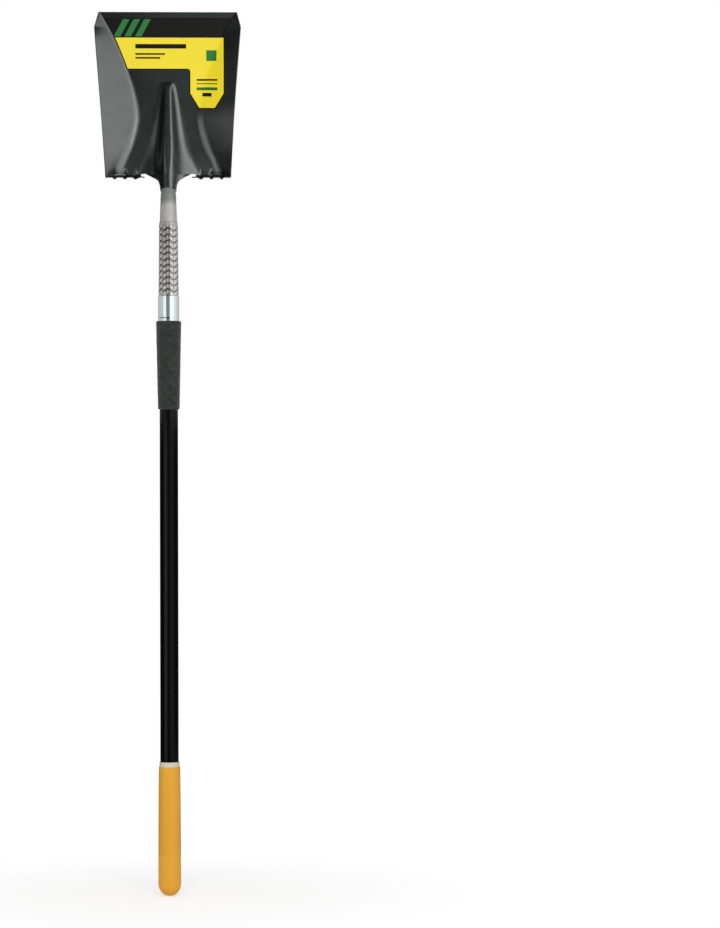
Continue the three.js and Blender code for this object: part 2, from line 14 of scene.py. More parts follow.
import bmesh
import bpy
import numpy as np
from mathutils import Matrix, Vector


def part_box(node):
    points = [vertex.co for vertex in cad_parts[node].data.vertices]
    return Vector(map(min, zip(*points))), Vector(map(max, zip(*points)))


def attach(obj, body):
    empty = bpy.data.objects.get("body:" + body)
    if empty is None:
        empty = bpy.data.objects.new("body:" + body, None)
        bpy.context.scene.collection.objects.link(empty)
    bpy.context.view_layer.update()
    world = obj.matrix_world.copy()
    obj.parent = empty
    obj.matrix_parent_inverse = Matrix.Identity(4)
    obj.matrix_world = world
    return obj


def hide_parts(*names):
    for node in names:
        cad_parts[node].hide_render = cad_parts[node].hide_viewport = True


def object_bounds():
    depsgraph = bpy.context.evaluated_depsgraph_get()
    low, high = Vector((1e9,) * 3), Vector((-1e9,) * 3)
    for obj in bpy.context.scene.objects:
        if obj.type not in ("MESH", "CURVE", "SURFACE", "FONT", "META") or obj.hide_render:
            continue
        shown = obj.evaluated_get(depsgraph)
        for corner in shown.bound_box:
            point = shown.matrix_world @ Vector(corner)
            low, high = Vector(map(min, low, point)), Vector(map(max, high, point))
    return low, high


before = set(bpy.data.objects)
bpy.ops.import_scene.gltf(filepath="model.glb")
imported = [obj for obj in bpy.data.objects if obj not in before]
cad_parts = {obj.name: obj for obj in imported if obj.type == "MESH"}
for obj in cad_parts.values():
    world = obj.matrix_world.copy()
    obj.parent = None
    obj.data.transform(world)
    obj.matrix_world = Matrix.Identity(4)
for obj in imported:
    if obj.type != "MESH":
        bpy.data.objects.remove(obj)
CAD_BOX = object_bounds()

LOG = logging.getLogger("shovel")
BODY = "root"
MM = 0.001
MERGE = 1e-7  # points closer than this are one
SHARP = math.radians(40)  # edges that turn more than this stay crisp
CORNER_POINTS = 7  # of a rounded corner in a profile
MIX_SOCKETS = (6, 7)  # a Mix node's two colours

Array = np.ndarray
Output = bpy.types.NodeSocket


class Node(Enum):
    """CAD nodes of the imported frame."""

    BLADE = "blade"
    WELD_BEAD = "weld_bead"
    SLEEVE = "socket_sleeve"
    FERRULE = "ferrule"
    SHAFT = "shaft"
    CORE_PLUG = "core_plug"
    END_PLUG = "end_plug"
    FOAM_GRIP = "foam_grip"
    GRIP_RING = "grip_ring"
    END_GRIP = "end_grip"
    UPPER_RIVET = "upper_rivet"
    LOWER_RIVET = "lower_rivet"
    LABEL = "blade_label"


class Slot(Enum):
    """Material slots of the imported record."""

    BLADE = "blade_steel"
    WELD = "weld"
    SOCKET = "socket_steel"
    FERRULE = "ferrule_chrome"
    SHAFT = "shaft_fibreglass"
    FOAM = "foam"
    RING = "ring_plastic"
    GRIP = "grip_vinyl"
    RIVET = "rivet_steel"
    LABEL = "sticker"


# Meshes


def lerp(start: Array | float, end: Array | float, share: Array | float) -> Array | float:
    """Value at a share of the way from start to end."""
    return start + (end - start) * share


def steps(count: int) -> Array:
    """Ends of so many equal steps of a way, as shares of it that run up to 1."""
    return np.arange(1, count + 1) / count


def smoothstep(value: Array | float, low: float, high: float) -> Array | float:
    """Share from 0 at low to 1 at high, level at both ends: 3t² - 2t³."""
    share = np.clip((value - low) / (high - low), 0, 1)
    return share * share * (3 - 2 * share)


def hump(offset: Array | float) -> Array | float:
    """Smooth hump: the squared cosine, 1 at offset 0 and 0 from offset 1 on, to both sides."""
    return np.cos(np.clip(np.abs(offset), 0, 1) * math.pi / 2) ** 2


def add_surface(
    name: str,
    points: Array,
    wraps: bool = False,
    cells: Array | None = None,
    marks: Array | None = None,
) -> bpy.types.Object:
    """Makes a smooth mesh of quads from a grid of points.

    Doubles are merged, so a row on an axis closes to a pole, and then the faces are turned outwards.

    Args:
        name: name of the new object.
        points: rows by columns by 3, in metres.
        wraps: whether the last column joins the first.
        cells: which cells of the grid become faces; all of them if left out.
        marks: rows by columns by 3, kept on the points as the attribute "marks".

    Returns:
        The new object, with its place in its mesh.
    """
    rows, columns = points.shape[:2]
    numbers = np.arange(rows * columns).reshape(rows, columns)
    if wraps:
        numbers = np.concatenate([numbers, numbers[:, :1]], axis=1)
    corners = [numbers[:-1, :-1], numbers[:-1, 1:], numbers[1:, 1:], numbers[1:, :-1]]
    quads = np.stack(corners, axis=-1)
    quads = quads.reshape(-1, 4) if cells is None else quads[cells]
    used, faces = np.unique(quads, return_inverse=True)
    mesh = bpy.data.meshes.new(name)
    mesh.from_pydata(points.reshape(-1, 3)[used].tolist(), [], faces.reshape(-1, 4).tolist())
    if marks is not None:
        layer = mesh.attributes.new("marks", "FLOAT_VECTOR", "POINT")
        layer.data.foreach_set("vector", marks.reshape(-1, 3)[used].astype(np.float32).ravel())
    work = bmesh.new()
    work.from_mesh(mesh)
    bmesh.ops.remove_doubles(work, verts=work.verts, dist=MERGE)
    bmesh.ops.recalc_face_normals(work, faces=work.faces)
    work.to_mesh(mesh)
    work.free()
    mesh.polygons.foreach_set("use_smooth", np.ones(len(mesh.polygons), dtype=bool))
    mesh.set_sharp_from_angle(angle=SHARP)
    piece = bpy.data.objects.new(name, mesh)
    bpy.context.scene.collection.objects.link(piece)
    return piece


def revolve(profile: Array, angles: Array, tweak: Array | float = 0.0) -> Array:
    """Grid of a solid of revolution about the handle's axis.

    A point is (r sin a, -r cos a, z), where r is the profile's radius plus the tweak.

    Args:
        profile: rows of radius and height.
        angles: one angle for each column, in radians.
        tweak: what is added to the radius, as rows by columns or one number.

    Returns:
        Rows by columns by 3.
    """
    radius = profile[:, :1] + tweak * np.sign(profile[:, :1])
    height = profile[:, 1:] + 0 * angles
    return np.stack([radius * np.sin(angles), -radius * np.cos(angles), height], axis=-1)


def full_circle(sides: int) -> Array:
    """Angles of so many equal columns round the handle."""
    return np.linspace(0, 2 * math.pi, sides, endpoint=False)


def quarter(radius: float, height: float, bend: float, start: float, stop: float) -> Array:
    """Rounded corner of a profile: an arc about (radius, height).

    Args:
        radius: radius of the arc's centre.
        height: height of the arc's centre.
        bend: size of the arc.
        start: angle in degrees of its first point, from outwards towards up.
        stop: angle of its last point.

    Returns:
        Rows of radius and height.
    """
    angles = np.radians(np.linspace(start, stop, CORNER_POINTS))
    return np.stack([radius + bend * np.cos(angles), height + bend * np.sin(angles)], axis=-1)


def settle(piece: bpy.types.Object, finish: "Finish", node: Node) -> None:
    """Gives a new piece its finish and lets it stand for a CAD node.

    Args:
        piece: the finished piece, in its place.
        finish: what its surface is.
        node: the CAD node it replaces.
    """
    piece.data.materials.clear()
    piece.data.materials.append(finish.build())
    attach(piece, BODY)
    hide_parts(node.value)
    LOG.info("%s stands for %s, in %s", piece.name, node.value, finish.name)


def dress_node(node: Node, finish: "Finish") -> None:
    """Gives a CAD node that stays its finish.

    Args:
        node: the node to dress.
        finish: what its surface is.
    """
    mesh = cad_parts[node.value].data
    material = finish.build()
    for index in range(len(mesh.materials)):
        mesh.materials[index] = material
    LOG.info("%s stays, in %s", node.value, finish.name)


# Finishes


def linear(code: str) -> tuple[float, float, float, float]:
    """Linear colour with full alpha from an sRGB hex code.

    A channel c of 0 to 1 becomes c / 12.92 up to 0.04045 and ((c + 0.055) / 1.055)^2.4 above.
    """
    channels = [int(code[k : k + 2], 16) / 255 for k in (0, 2, 4)]
    flat = [c / 12.92 if c <= 0.04045 else ((c + 0.055) / 1.055) ** 2.4 for c in channels]
    return (*flat, 1.0)


def per(size_mm: float) -> float:
    """Scale of a pattern in metres whose features are so many millimetres wide."""
    return 1 / (size_mm * MM)


@dataclass(frozen=True)
class Pattern:
    """Noise in a surface, whose features are longer than wide along the handle if it is stretched."""

    size_mm: float
    detail: float
    stretch: float = 1.0  # width of a feature by its length
    distortion: float = 0.0


@dataclass(frozen=True)
class Graph:
    """Node tree of a shader. Each method adds a node, and returns its outputs or the one that counts."""

    tree: bpy.types.NodeTree

    def add(self, kind: str, inputs: dict | None = None, **settings: object) -> bpy.types.NodeOutputs:
        """Adds a node with its settings and links.

        Args:
            kind: Blender's type of node, without ShaderNode in front.
            inputs: input socket, by name or number, to a constant or to the output that feeds it.
            settings: the node's own properties.

        Returns:
            The new node's outputs.
        """
        node = self.tree.nodes.new("ShaderNode" + kind)
        for name, value in settings.items():
            setattr(node, name, value)
        for key, value in (inputs or {}).items():
            if isinstance(value, Output):
                self.tree.links.new(value, node.inputs[key])
            else:
                node.inputs[key].default_value = value
        return node.outputs

    def maths(self, operation: str, *values: Output | float) -> Output:
        """Adds an operation on up to three values."""
        return self.add("Math", dict(enumerate(values)), operation=operation)[0]

    def noise(self, place: Output, pattern: Pattern) -> Output:
        """Adds noise from 0 to 1, at a place in metres."""
        drawn = self.add("Mapping", {"Vector": place, "Scale": (1.0, 1.0, pattern.stretch)})["Vector"]
        inputs = {"Vector": drawn, "Scale": per(pattern.size_mm), "Detail": pattern.detail}
        return self.add("TexNoise", inputs | {"Distortion": pattern.distortion})["Fac"]

    def remap(
        self,
        value: Output,
        source: tuple[float, float] = (0.0, 1.0),
        target: tuple[float, float] = (0.0, 1.0),
        smooth: bool = False,
    ) -> Output:
        """Adds a map from a source range to a target range, which it doesn't leave.

        Args:
            value: what is mapped.
            source: values that become the target's two ends.
            target: the two ends.
            smooth: whether it is level at both ends, instead of straight.

        Returns:
            The mapped value.
        """
        ends = zip(("From Min", "From Max", "To Min", "To Max"), source + target)
        kind = "SMOOTHSTEP" if smooth else "LINEAR"
        return self.add("MapRange", {"Value": value, **dict(ends)}, interpolation_type=kind)["Result"]

    def mix(
        self, share: Output | float, first: Output | str, second: Output | str, blend: str = "MIX"
    ) -> Output:
        """Adds a mix of two colours, each an output or an sRGB hex code."""
        ends = (linear(end) if isinstance(end, str) else end for end in (first, second))
        inputs = {0: share, **dict(zip(MIX_SOCKETS, ends))}
        return self.add("Mix", inputs, data_type="RGBA", blend_type=blend)[2]

    def bump(self, height: Output, strength: float, depth_mm: float, invert: bool = False) -> Output:
        """Adds a relief as a normal."""
        inputs = {"Height": height, "Strength": strength, "Distance": depth_mm * MM}
        return self.add("Bump", inputs, invert=invert)["Normal"]


def open_graph(owner: bpy.types.Material | bpy.types.World) -> Graph:
    """Turns on the nodes of a material or world and returns its emptied tree."""
    owner.use_nodes = True
    owner.node_tree.nodes.clear()
    return Graph(owner.node_tree)


@dataclass(frozen=True)
class Finish:
    """A surface with one Principled shader, whose patterns come from dress()."""

    name: str
    colour: str
    roughness: float
    metallic: float = 0.0
    specular: float = 0.5

    def dress(self, graph: Graph, place: Output) -> dict:
        """Adds the surface's patterns.

        Args:
            graph: the material's node tree.
            place: Object coordinates, in metres.

        Returns:
            Principled input to the output that feeds it, or to its constant.
        """
        raise NotImplementedError

    def build(self) -> bpy.types.Material:
        """Makes the material and returns it."""
        material = bpy.data.materials.new(self.name)
        graph = open_graph(material)
        constants = {
            "Base Color": linear(self.colour),
            "Roughness": self.roughness,
            "Metallic": self.metallic,
            "Specular IOR Level": self.specular,
        }
        patterns = self.dress(graph, graph.add("TexCoord")["Object"])
        shader = graph.add("BsdfPrincipled", constants | patterns)
        graph.add("OutputMaterial", {"Surface": shader["BSDF"]})
        return material


@dataclass(frozen=True)
class MottledFinish(Finish):
    """Surface with clouds or strands of another colour and gloss, and a fine relief."""

    other_colour: str | None = None
    clouds: Pattern = Pattern(16, 3)
    window: tuple[float, float] = (0.3, 0.7)  # noise where the other colour starts and is at its most
    share: float = 0.2  # of the other colour at its most
    gloss_spread: float = 0.05
    relief: Pattern = Pattern(2.2, 2)
    strength: float = 0.5
    depth_mm: float = 0.02

    def dress(self, graph: Graph, place: Output) -> dict:
        """Adds the clouds in colour and gloss, and the relief."""
        cloud = graph.noise(place, self.clouds)
        share = graph.remap(cloud, self.window, (0.0, self.share))
        glosses = (self.roughness - self.gloss_spread, self.roughness + self.gloss_spread)
        return {
            "Base Color": graph.mix(share, self.colour, self.other_colour or self.colour),
            "Roughness": graph.remap(cloud, target=glosses),
            "Normal": graph.bump(graph.noise(place, self.relief), self.strength, self.depth_mm),
        }


@dataclass(frozen=True)
class SleeveFinish(Finish):
    """Zinc-plated steel tube, dulled by heat near the weld, with painted shade and a painted greenish
    reflection of the blade's neck on top.

    Three zones follow each other down the tube: a darker greenish band of painted shade and reflection
    under the neck, matt grey, and bright plating.
    """

    matt_colour: str = "bcbab7"
    matt_roughness: float = 0.5
    matt_metallic: float = 0.35
    # painted shade and greenish reflection of the neck over the tube's top, and the heights where it
    # fades out
    neck_shade_colour: str = "868d89"
    neck_shade_border: tuple[float, float] = (-0.050, -0.036)
    matt_border: tuple[float, float] = (-0.088, -0.070)
    border_sway: float = 0.018
    clouds: Pattern = Pattern(14, 4)
    flakes: Pattern = Pattern(0.9, 3)  # drawn coarser than real crystals, so that they show
    flake_tone: float = 0.85
    # share of the colour left in the painted shade of the grooves
    groove_shade_tone: float = 0.42
    strength: float = 0.35
    depth_mm: float = 0.008

    def dress(self, graph: Graph, place: Output) -> dict:
        """Adds the zones by height with cloudy borders, the plating's crystals and painted shade in the
        grooves.

        The attribute "marks" gives in its first part how far each point is up from a groove, from 0 to 1.
        """
        height = graph.add("SeparateXYZ", {"Vector": place})["Z"]
        sway = graph.maths("MULTIPLY_ADD", graph.noise(place, self.clouds), self.border_sway, height)
        middle = self.border_sway / 2
        # shares of the painted neck shade and of the matt grey, by height
        neck_shade, matt = (
            graph.remap(sway, (low + middle, high + middle), smooth=True)
            for low, high in (self.neck_shade_border, self.matt_border)
        )
        flake = graph.add("TexVoronoi", {"Vector": place, "Scale": per(self.flakes.size_mm)})["Color"]
        marks = graph.add("Attribute", attribute_name="marks")["Vector"]
        depth = graph.add("SeparateXYZ", {"Vector": marks})["X"]
        # painted shade: the colour darkens in the grooves, and the plating's crystals vary its tone at
        # random
        shade = graph.maths(
            "MULTIPLY",
            graph.remap(flake, target=(self.flake_tone, 1.0)),
            graph.remap(depth, target=(self.groove_shade_tone, 1.0)),
        )
        plated = graph.mix(1.0, self.colour, shade, blend="MULTIPLY")
        dulled = graph.mix(matt, plated, self.matt_colour)
        return {
            # the top zone's colour is the painted shade and reflection of the neck
            "Base Color": graph.mix(neck_shade, dulled, self.neck_shade_colour),
            "Roughness": graph.remap(matt, target=(self.roughness, self.matt_roughness)),
            "Metallic": graph.remap(matt, target=(self.metallic, self.matt_metallic)),
            "Normal": graph.bump(graph.noise(place, self.flakes), self.strength, self.depth_mm),
        }


@dataclass(frozen=True)
class ClosedCellFoam(Finish):
    """Extruded closed-cell foam: dull, with open pores cut at its ground surface."""

    # colour of the painted shade in the pores and hollows
    pore_shade_colour: str = "232624"
    pore_mm: float = 1.3  # drawn about twice as coarse as real pores, so that it shows
    clouds: Pattern = Pattern(7, 5)
    window: tuple[float, float] = (0.55, 1.25)
    strength: float = 0.8
    depth_mm: float = 0.12
    sheen: float = 0.25
    sheen_roughness: float = 0.5

    def dress(self, graph: Graph, place: Output) -> dict:
        """Adds the relief of the cells, pores and soft clouds, painted shade that darkens its low places,
        and a faint sheen.
        """
        pore = graph.add("TexVoronoi", {"Vector": place, "Scale": per(self.pore_mm)})["Distance"]
        mixed = graph.maths("ADD", pore, graph.noise(place, self.clouds))
        return {
            # painted shade: the colour darkens where the relief lies low
            "Base Color": graph.mix(graph.remap(mixed, self.window), self.colour, self.pore_shade_colour),
            "Normal": graph.bump(mixed, self.strength, self.depth_mm, invert=True),
            "Sheen Weight": self.sheen,
            "Sheen Roughness": self.sheen_roughness,
        }


@dataclass(frozen=True)
class Bar:
    """Printed bar: its middle across and up the blade, its size, and its ends' lean for a metre up."""

    across: float
    up: float
    width: float
    height: float
    slant: float = 0.0


@dataclass(frozen=True)
class PrintedFilm(Finish):
    """Glossy printed vinyl film: a black head band, a panel, and a tab, with a plain pattern of bars.

    The attribute "marks" gives each point's place across and up the blade and how far it is from the
    film's edge.
    """

    band_colour: str = "141211"
    stripe_colour: str = "1f7a35"
    border: float = 0.0019
    band_bottom: float = 0.236
    dark_bars: tuple[Bar, ...] = (
        Bar(-0.012, 0.2215, 0.086, 0.0075),
        Bar(-0.030, 0.2085, 0.050, 0.0028),
        Bar(-0.034, 0.2020, 0.042, 0.0028),
        Bar(0.0665, 0.1650, 0.036, 0.0030),
        Bar(0.0665, 0.1585, 0.036, 0.0014),
        Bar(0.0665, 0.1400, 0.016, 0.0060),
    )
    green_bars: tuple[Bar, ...] = (
        Bar(-0.078, 0.2525, 0.011, 0.0290, slant=0.55),
        Bar(-0.060, 0.2525, 0.011, 0.0290, slant=0.55),
        Bar(-0.042, 0.2525, 0.011, 0.0290, slant=0.55),
        Bar(0.074, 0.2060, 0.018, 0.0180),
        Bar(0.0665, 0.1500, 0.036, 0.0050),
    )
    ripples: Pattern = Pattern(22, 2)
    strength: float = 0.3
    depth_mm: float = 0.08

    def mask(self, graph: Graph, across: Output, up: Output, bar: Bar) -> Output:
        """Adds a bar's mask.

        Args:
            graph: the material's node tree.
            across: place across the blade.
            up: place up the blade.
            bar: the bar.

        Returns:
            The mask, 1 inside the bar.
        """
        rise = graph.maths("SUBTRACT", up, bar.up)
        base = graph.maths("SUBTRACT", across, graph.maths("MULTIPLY", rise, bar.slant))
        wide = graph.maths("COMPARE", base, bar.across, bar.width / 2)
        high = graph.maths("COMPARE", rise, 0.0, bar.height / 2)
        return graph.maths("MULTIPLY", wide, high)

    def dress(self, graph: Graph, place: Output) -> dict:
        """Adds the band, its stripes, the panel's bars, the tab's bars and the dark border."""
        marks = graph.add("Attribute", attribute_name="marks")["Vector"]
        across, up, inside = graph.add("SeparateXYZ", {"Vector": marks})
        band = graph.maths("GREATER_THAN", up, self.band_bottom)
        dark = graph.maths("MAXIMUM", band, graph.maths("LESS_THAN", inside, self.border))
        for bar in self.dark_bars:
            dark = graph.maths("MAXIMUM", dark, self.mask(graph, across, up, bar))
        colour = graph.mix(dark, self.colour, self.band_colour)
        for bar in self.green_bars:
            colour = graph.mix(self.mask(graph, across, up, bar), colour, self.stripe_colour)
        ripple = graph.noise(place, self.ripples)
        return {"Base Color": colour, "Normal": graph.bump(ripple, self.strength, self.depth_mm)}


# Lengthwise waves of a drawn tube, strands under a pultruded skin, and the grain of turned wood
DRAWN = Pattern(5, 1, stretch=0.06)
STRANDS = Pattern(1.1, 3, stretch=0.02)
GRAIN = Pattern(2.4, 6, stretch=0.08, distortion=0.6)

# The pigment mirrors its surroundings as dark metal does: near black in front, grey on the lit wing.
BLADE_COAT = MottledFinish(
    "graphite_powder_coat", "757a78", 0.28, metallic=1.0, other_colour="838886", clouds=Pattern(28, 3),
    window=(0.35, 0.75), share=0.45, gloss_spread=0.03, relief=Pattern(1.8, 2), depth_mm=0.012,
)
# The weld has the sleeve's colours at its height: the painted shade and greenish reflection of the neck,
# on dull steel.
WELD_COAT = SleeveFinish("weld_bead_painted_neck_shade", "8d9290", 0.5, metallic=0.4)
SLEEVE_COAT = SleeveFinish("zinc_plated_sleeve", "dcdbd9", 0.34, metallic=1.0)
CHROME = MottledFinish(
    "bright_chrome_plate", "e2eced", 0.1, metallic=1.0, clouds=Pattern(18, 4), gloss_spread=0.03,
    relief=DRAWN, strength=0.4, depth_mm=0.01,
)
ZINC = MottledFinish(
    "zinc_plate", "c8cac9", 0.34, metallic=1.0, clouds=Pattern(2.5, 4), gloss_spread=0.1,
    relief=DRAWN, strength=0.4, depth_mm=0.01,
)
SHAFT_RESIN = MottledFinish(
    "pultruded_black_fibreglass", "040404", 0.26, specular=0.2, other_colour="0d0d0e", clouds=STRANDS,
    window=(0.45, 0.8), share=0.5, gloss_spread=0.0, relief=STRANDS, strength=0.3, depth_mm=0.012,
)
GRIP_FOAM = ClosedCellFoam("ground_closed_cell_foam", "444845", 0.92, specular=0.2)
RING_PLASTIC = MottledFinish("moulded_cream_plastic", "e0d8c4", 0.45, other_colour="d6ceb8")
GRIP_VINYL = MottledFinish(
    "dipped_yellow_vinyl", "f0aa22", 0.5, other_colour="f5b530", clouds=Pattern(30, 3), depth_mm=0.03
)
PLUG_PLASTIC = MottledFinish("moulded_black_plastic", "161616", 0.55, other_colour="242424")
CORE_WOOD = MottledFinish(
    "turned_ash", "c9ab78", 0.7, other_colour="9a7a4c", clouds=GRAIN, window=(0.4, 0.65), share=1.0,
    gloss_spread=0.0, relief=GRAIN, depth_mm=0.08,
)
LABEL_FILM = PrintedFilm("printed_vinyl_film", "fae315", 0.36)


# Blade


@dataclass
class Blade:
    """Pressed steel blade: floor, wings, frog, treads and neck, as one sheet round its middle surface.

    A place on the sheet is x across, v up along the floor from the treads' foot faces, and h out of the
    floor towards the viewer.
    """

    thickness: float = 0.0019
    length: float = 0.279
    mouth_width: float = 0.234
    widest_width: float = 0.247
    shoulder_width: float = 0.212
    side_waist: float = 0.0012
    corner_setback: float = 0.025
    lift: float = math.radians(7)
    floor_setback: float = 0.012
    wing_height: float = 0.034
    mouth_fold_width: float = 0.004
    shoulder_fold_width: float = 0.024
    fold_places: tuple[float, ...] = (0, 0.08, 0.18, 0.29, 0.38, 0.52, 0.68, 0.85, 1)
    fold_shares: tuple[float, ...] = (0.76, 0.68, 0.565, 0.482, 0.452, 0.51, 0.635, 0.8, 0.99)
    rim_shares: tuple[float, ...] = (0.5, 0.66, 0.82, 0.93, 0.98, 1, 0.92, 0.62, 0)
    frog_length: float = 0.161
    frog_tip_width: float = 0.018
    frog_foot_width: float = 0.0796
    frog_crest_power: float = 0.5
    frog_waist_tip: float = 0.0066
    frog_waist_gains: tuple[float, float] = (0.0100, 0.005)
    frog_waist_power: int = 4
    frog_section_powers: tuple[float, float] = (4.2, 2.1)  # near the tip and at the neck
    frog_rounding: tuple[float, float] = (0.6, 1.02)  # shares of the way where the power falls
    frog_fade: tuple[float, float] = (0.9, 1.45)
    frog_flare_power: float = 1.1
    frog_tip_fillet: float = 0.008
    tread_depth: float = 0.020
    tread_bend: float = 0.004
    tread_spur: float = 0.007
    tread_corner_cut: float = 0.0025
    tread_corner_run: float = 0.005
    rib_setback: float = 0.0095
    rib_pitch: float = 0.0173
    rib_width: float = 0.009
    rib_height: float = 0.003
    gusset_width: float = 0.012
    gusset_height: float = 0.011
    gusset_depths: tuple[float, ...] = (0.0008, 0.0024, 0.0008)
    relief_width: float = 0.0068
    relief_height: float = 0.0062
    neck_length: float = 0.0206
    neck_rim_arch: float = 0.0034
    neck_seam: float = 0.003
    neck_flare_power: float = 1.75
    neck_radius: float = 0.0131
    edge_round: float = 0.00045
    edge_angle: float = math.radians(60)
    edge_segments: int = 3
    curve_points: int = 361
    slope_step: float = 0.0005
    frog_columns: int = 34
    relief_columns: int = 4
    floor_columns: int = 14
    fold_columns: int = 24
    wing_columns: int = 27
    mouth_rows: int = 14
    panel_rows: int = 46
    tip_rows: int = 96
    tip_row_power: float = 1.3  # above 1 the rows lie closer near the frog's tip
    bend_rows: int = 8
    neck_rows: int = 24

    @property
    def widest(self) -> float:
        """Place up the blade where it is widest."""
        return self.length - self.corner_setback

    @property
    def bend_start(self) -> float:
        """Place up the blade where the treads start to bend."""
        return self.tread_bend + self.thickness / 2

    @property
    def tread_root(self) -> float:
        """Place across of the treads' inner edges."""
        return self.frog_foot_width / 2 + self.relief_width

    def place(self, x: Array, v: Array, h: Array) -> Array:
        """Points in the row frame: the floor leans forward by the lift, about the foot faces."""
        y = -v * math.sin(self.lift) - h * math.cos(self.lift)
        z = v * math.cos(self.lift) - h * math.sin(self.lift)
        return np.stack([x + 0 * y, y, z], axis=-1)

    def share_at(self, shares: tuple[float, ...], v: Array) -> Array:
        """Shares at v up the blade, on a Catmull-Rom curve through the given ones with its ends repeated.

        Args:
            shares: one share for each of fold_places.
            v: places up the blade.

        Returns:
            The curve's share at each v.
        """
        points = np.stack([self.fold_places, shares], axis=1)
        padded = np.vstack([points[:1], points, points[-1:]])
        along = np.linspace(0, len(points) - 1, self.curve_points)
        first = np.minimum(along.astype(int), len(points) - 2)
        t = (along - first)[:, None]
        before, start, end, after = (padded[first + k] for k in range(4))
        leave, arrive = (end - before) / 2, (after - start) / 2
        cubic = (2 * start - 2 * end + leave + arrive) * t**3
        square = (3 * end - 3 * start - 2 * leave - arrive) * t**2
        curve = cubic + square + leave * t + start
        return np.interp(np.clip(v / self.length, 0, 1), curve[:, 0], curve[:, 1])

    def fold_out(self, v: Array) -> Array:
        """How far out the fold between floor and wing is."""
        return self.share_at(self.fold_shares, v) * self.mouth_width / 2

    def rim_height(self, v: Array) -> Array:
        """How high the wing's edge is over the floor."""
        return self.share_at(self.rim_shares, v) * self.wing_height

    def fold_half(self, v: Array) -> Array:
        """Half the fold's width, which shrinks evenly from the shoulder to the mouth."""
        share = np.clip(v / self.length, 0, 1)
        return lerp(self.shoulder_fold_width, self.mouth_fold_width, share) / 2

    def half_width(self, v: Array) -> Array:
        """Half the blade's width: a slightly waisted taper, and a straight one at the mouth's corners."""
        corner = lerp(self.widest_width, self.mouth_width, (v - self.widest) / self.corner_setback)
        side = lerp(self.shoulder_width, self.widest_width, v / self.widest)
        waist = self.side_waist * np.sin(math.pi * v / self.widest)
        return np.where(v > self.widest, corner / 2, side / 2 - waist)

    def frog_half(self, v: Array) -> Array:
        """Half the width of the frog's foot, which flares towards the neck."""
        share = np.clip(1 - v / self.frog_length, 0, 1) ** self.frog_flare_power
        return lerp(self.frog_tip_width, self.frog_foot_width, share) / 2

    def frog_section(self, out: Array, v: Array) -> Array:
        """Share of the frog's height at a place across: 1 / (1 + (out / waist)^power).

        Its broad crest, steep flanks and long fillets come from the power, which falls towards the
        round neck. The waist grows with the share of the way from the tip plus that share's fourth
        power. The fillet fades out round the frog's foot line.
        """
        share = np.clip(1 - v / self.frog_length, 0, 1)
        even, flare = self.frog_waist_gains
        waist = self.frog_waist_tip + even * share + flare * share**self.frog_waist_power
        power = lerp(*self.frog_section_powers, smoothstep(share, *self.frog_rounding))
        fade = 1 - smoothstep(out / self.frog_half(v), *self.frog_fade)
        return fade / (1 + (out / waist) ** power)

    def height(self, x: Array, v: Array) -> Array:
        """Height of the sheet's middle over the floor.

        The frog is its section across times a power curve along, softened at its tip. A wing leaves
        the floor in a parabola as wide as the fold and goes on straight to its edge.
        """
        out = np.abs(x)
        share = np.clip(1 - v / self.frog_length, 0, 1)
        fillet = share / (share + self.frog_tip_fillet)
        top = self.neck_radius / math.cos(self.lift) + self.floor_setback
        crest = top * share**self.frog_crest_power * fillet
        bell = self.frog_section(out, v)
        half, fold = self.fold_half(v), self.fold_out(v)
        in_fold = np.clip(out - fold + half, 0, 2 * half)
        past_fold = np.maximum(out - fold - half, 0)
        slope = self.rim_height(v) / np.maximum(self.half_width(v) - fold, self.thickness / 2)
        return crest * bell + slope * (in_fold**2 / half / 4 + past_fold)

    def middle(self, x: Array, v: Array) -> Array:
        """Points of the sheet's middle surface in the row frame."""
        return self.place(x, v, self.height(x, v) - self.floor_setback)

    def surface(self, x: Array, v: Array, clear: float) -> Array:
        """Points clear of the sheet's middle on the hollow side, square to it."""
        step = self.slope_step
        x, v = np.broadcast_arrays(x, v)
        across = self.middle(x + step, v) - self.middle(x - step, v)
        up = self.middle(x, v + step) - self.middle(x, v - step)
        normal = np.cross(across, up)
        normal /= np.linalg.norm(normal, axis=-1, keepdims=True)
        return self.middle(x, v) + clear * normal

    def rib_middles(self) -> Array:
        """Places across of each tread's ribs."""
        first = self.tread_root + self.rib_setback
        return first + self.rib_pitch * np.arange(len(self.gusset_depths))

    def gusset(self, x: Array, rise: Array | float) -> Array:
        """How deep the gussets at the ribs' roots are pressed back: triangles that narrow upwards."""
        left = np.clip(1 - rise / self.gusset_height, 0, 1)
        wide = np.maximum(self.gusset_width / 2 * left, MERGE)
        dents = [
            depth * hump((x - middle) / wide) * left**0.5
            for depth, middle in zip(self.gusset_depths, self.rib_middles())
        ]
        return np.sum(dents, axis=0)

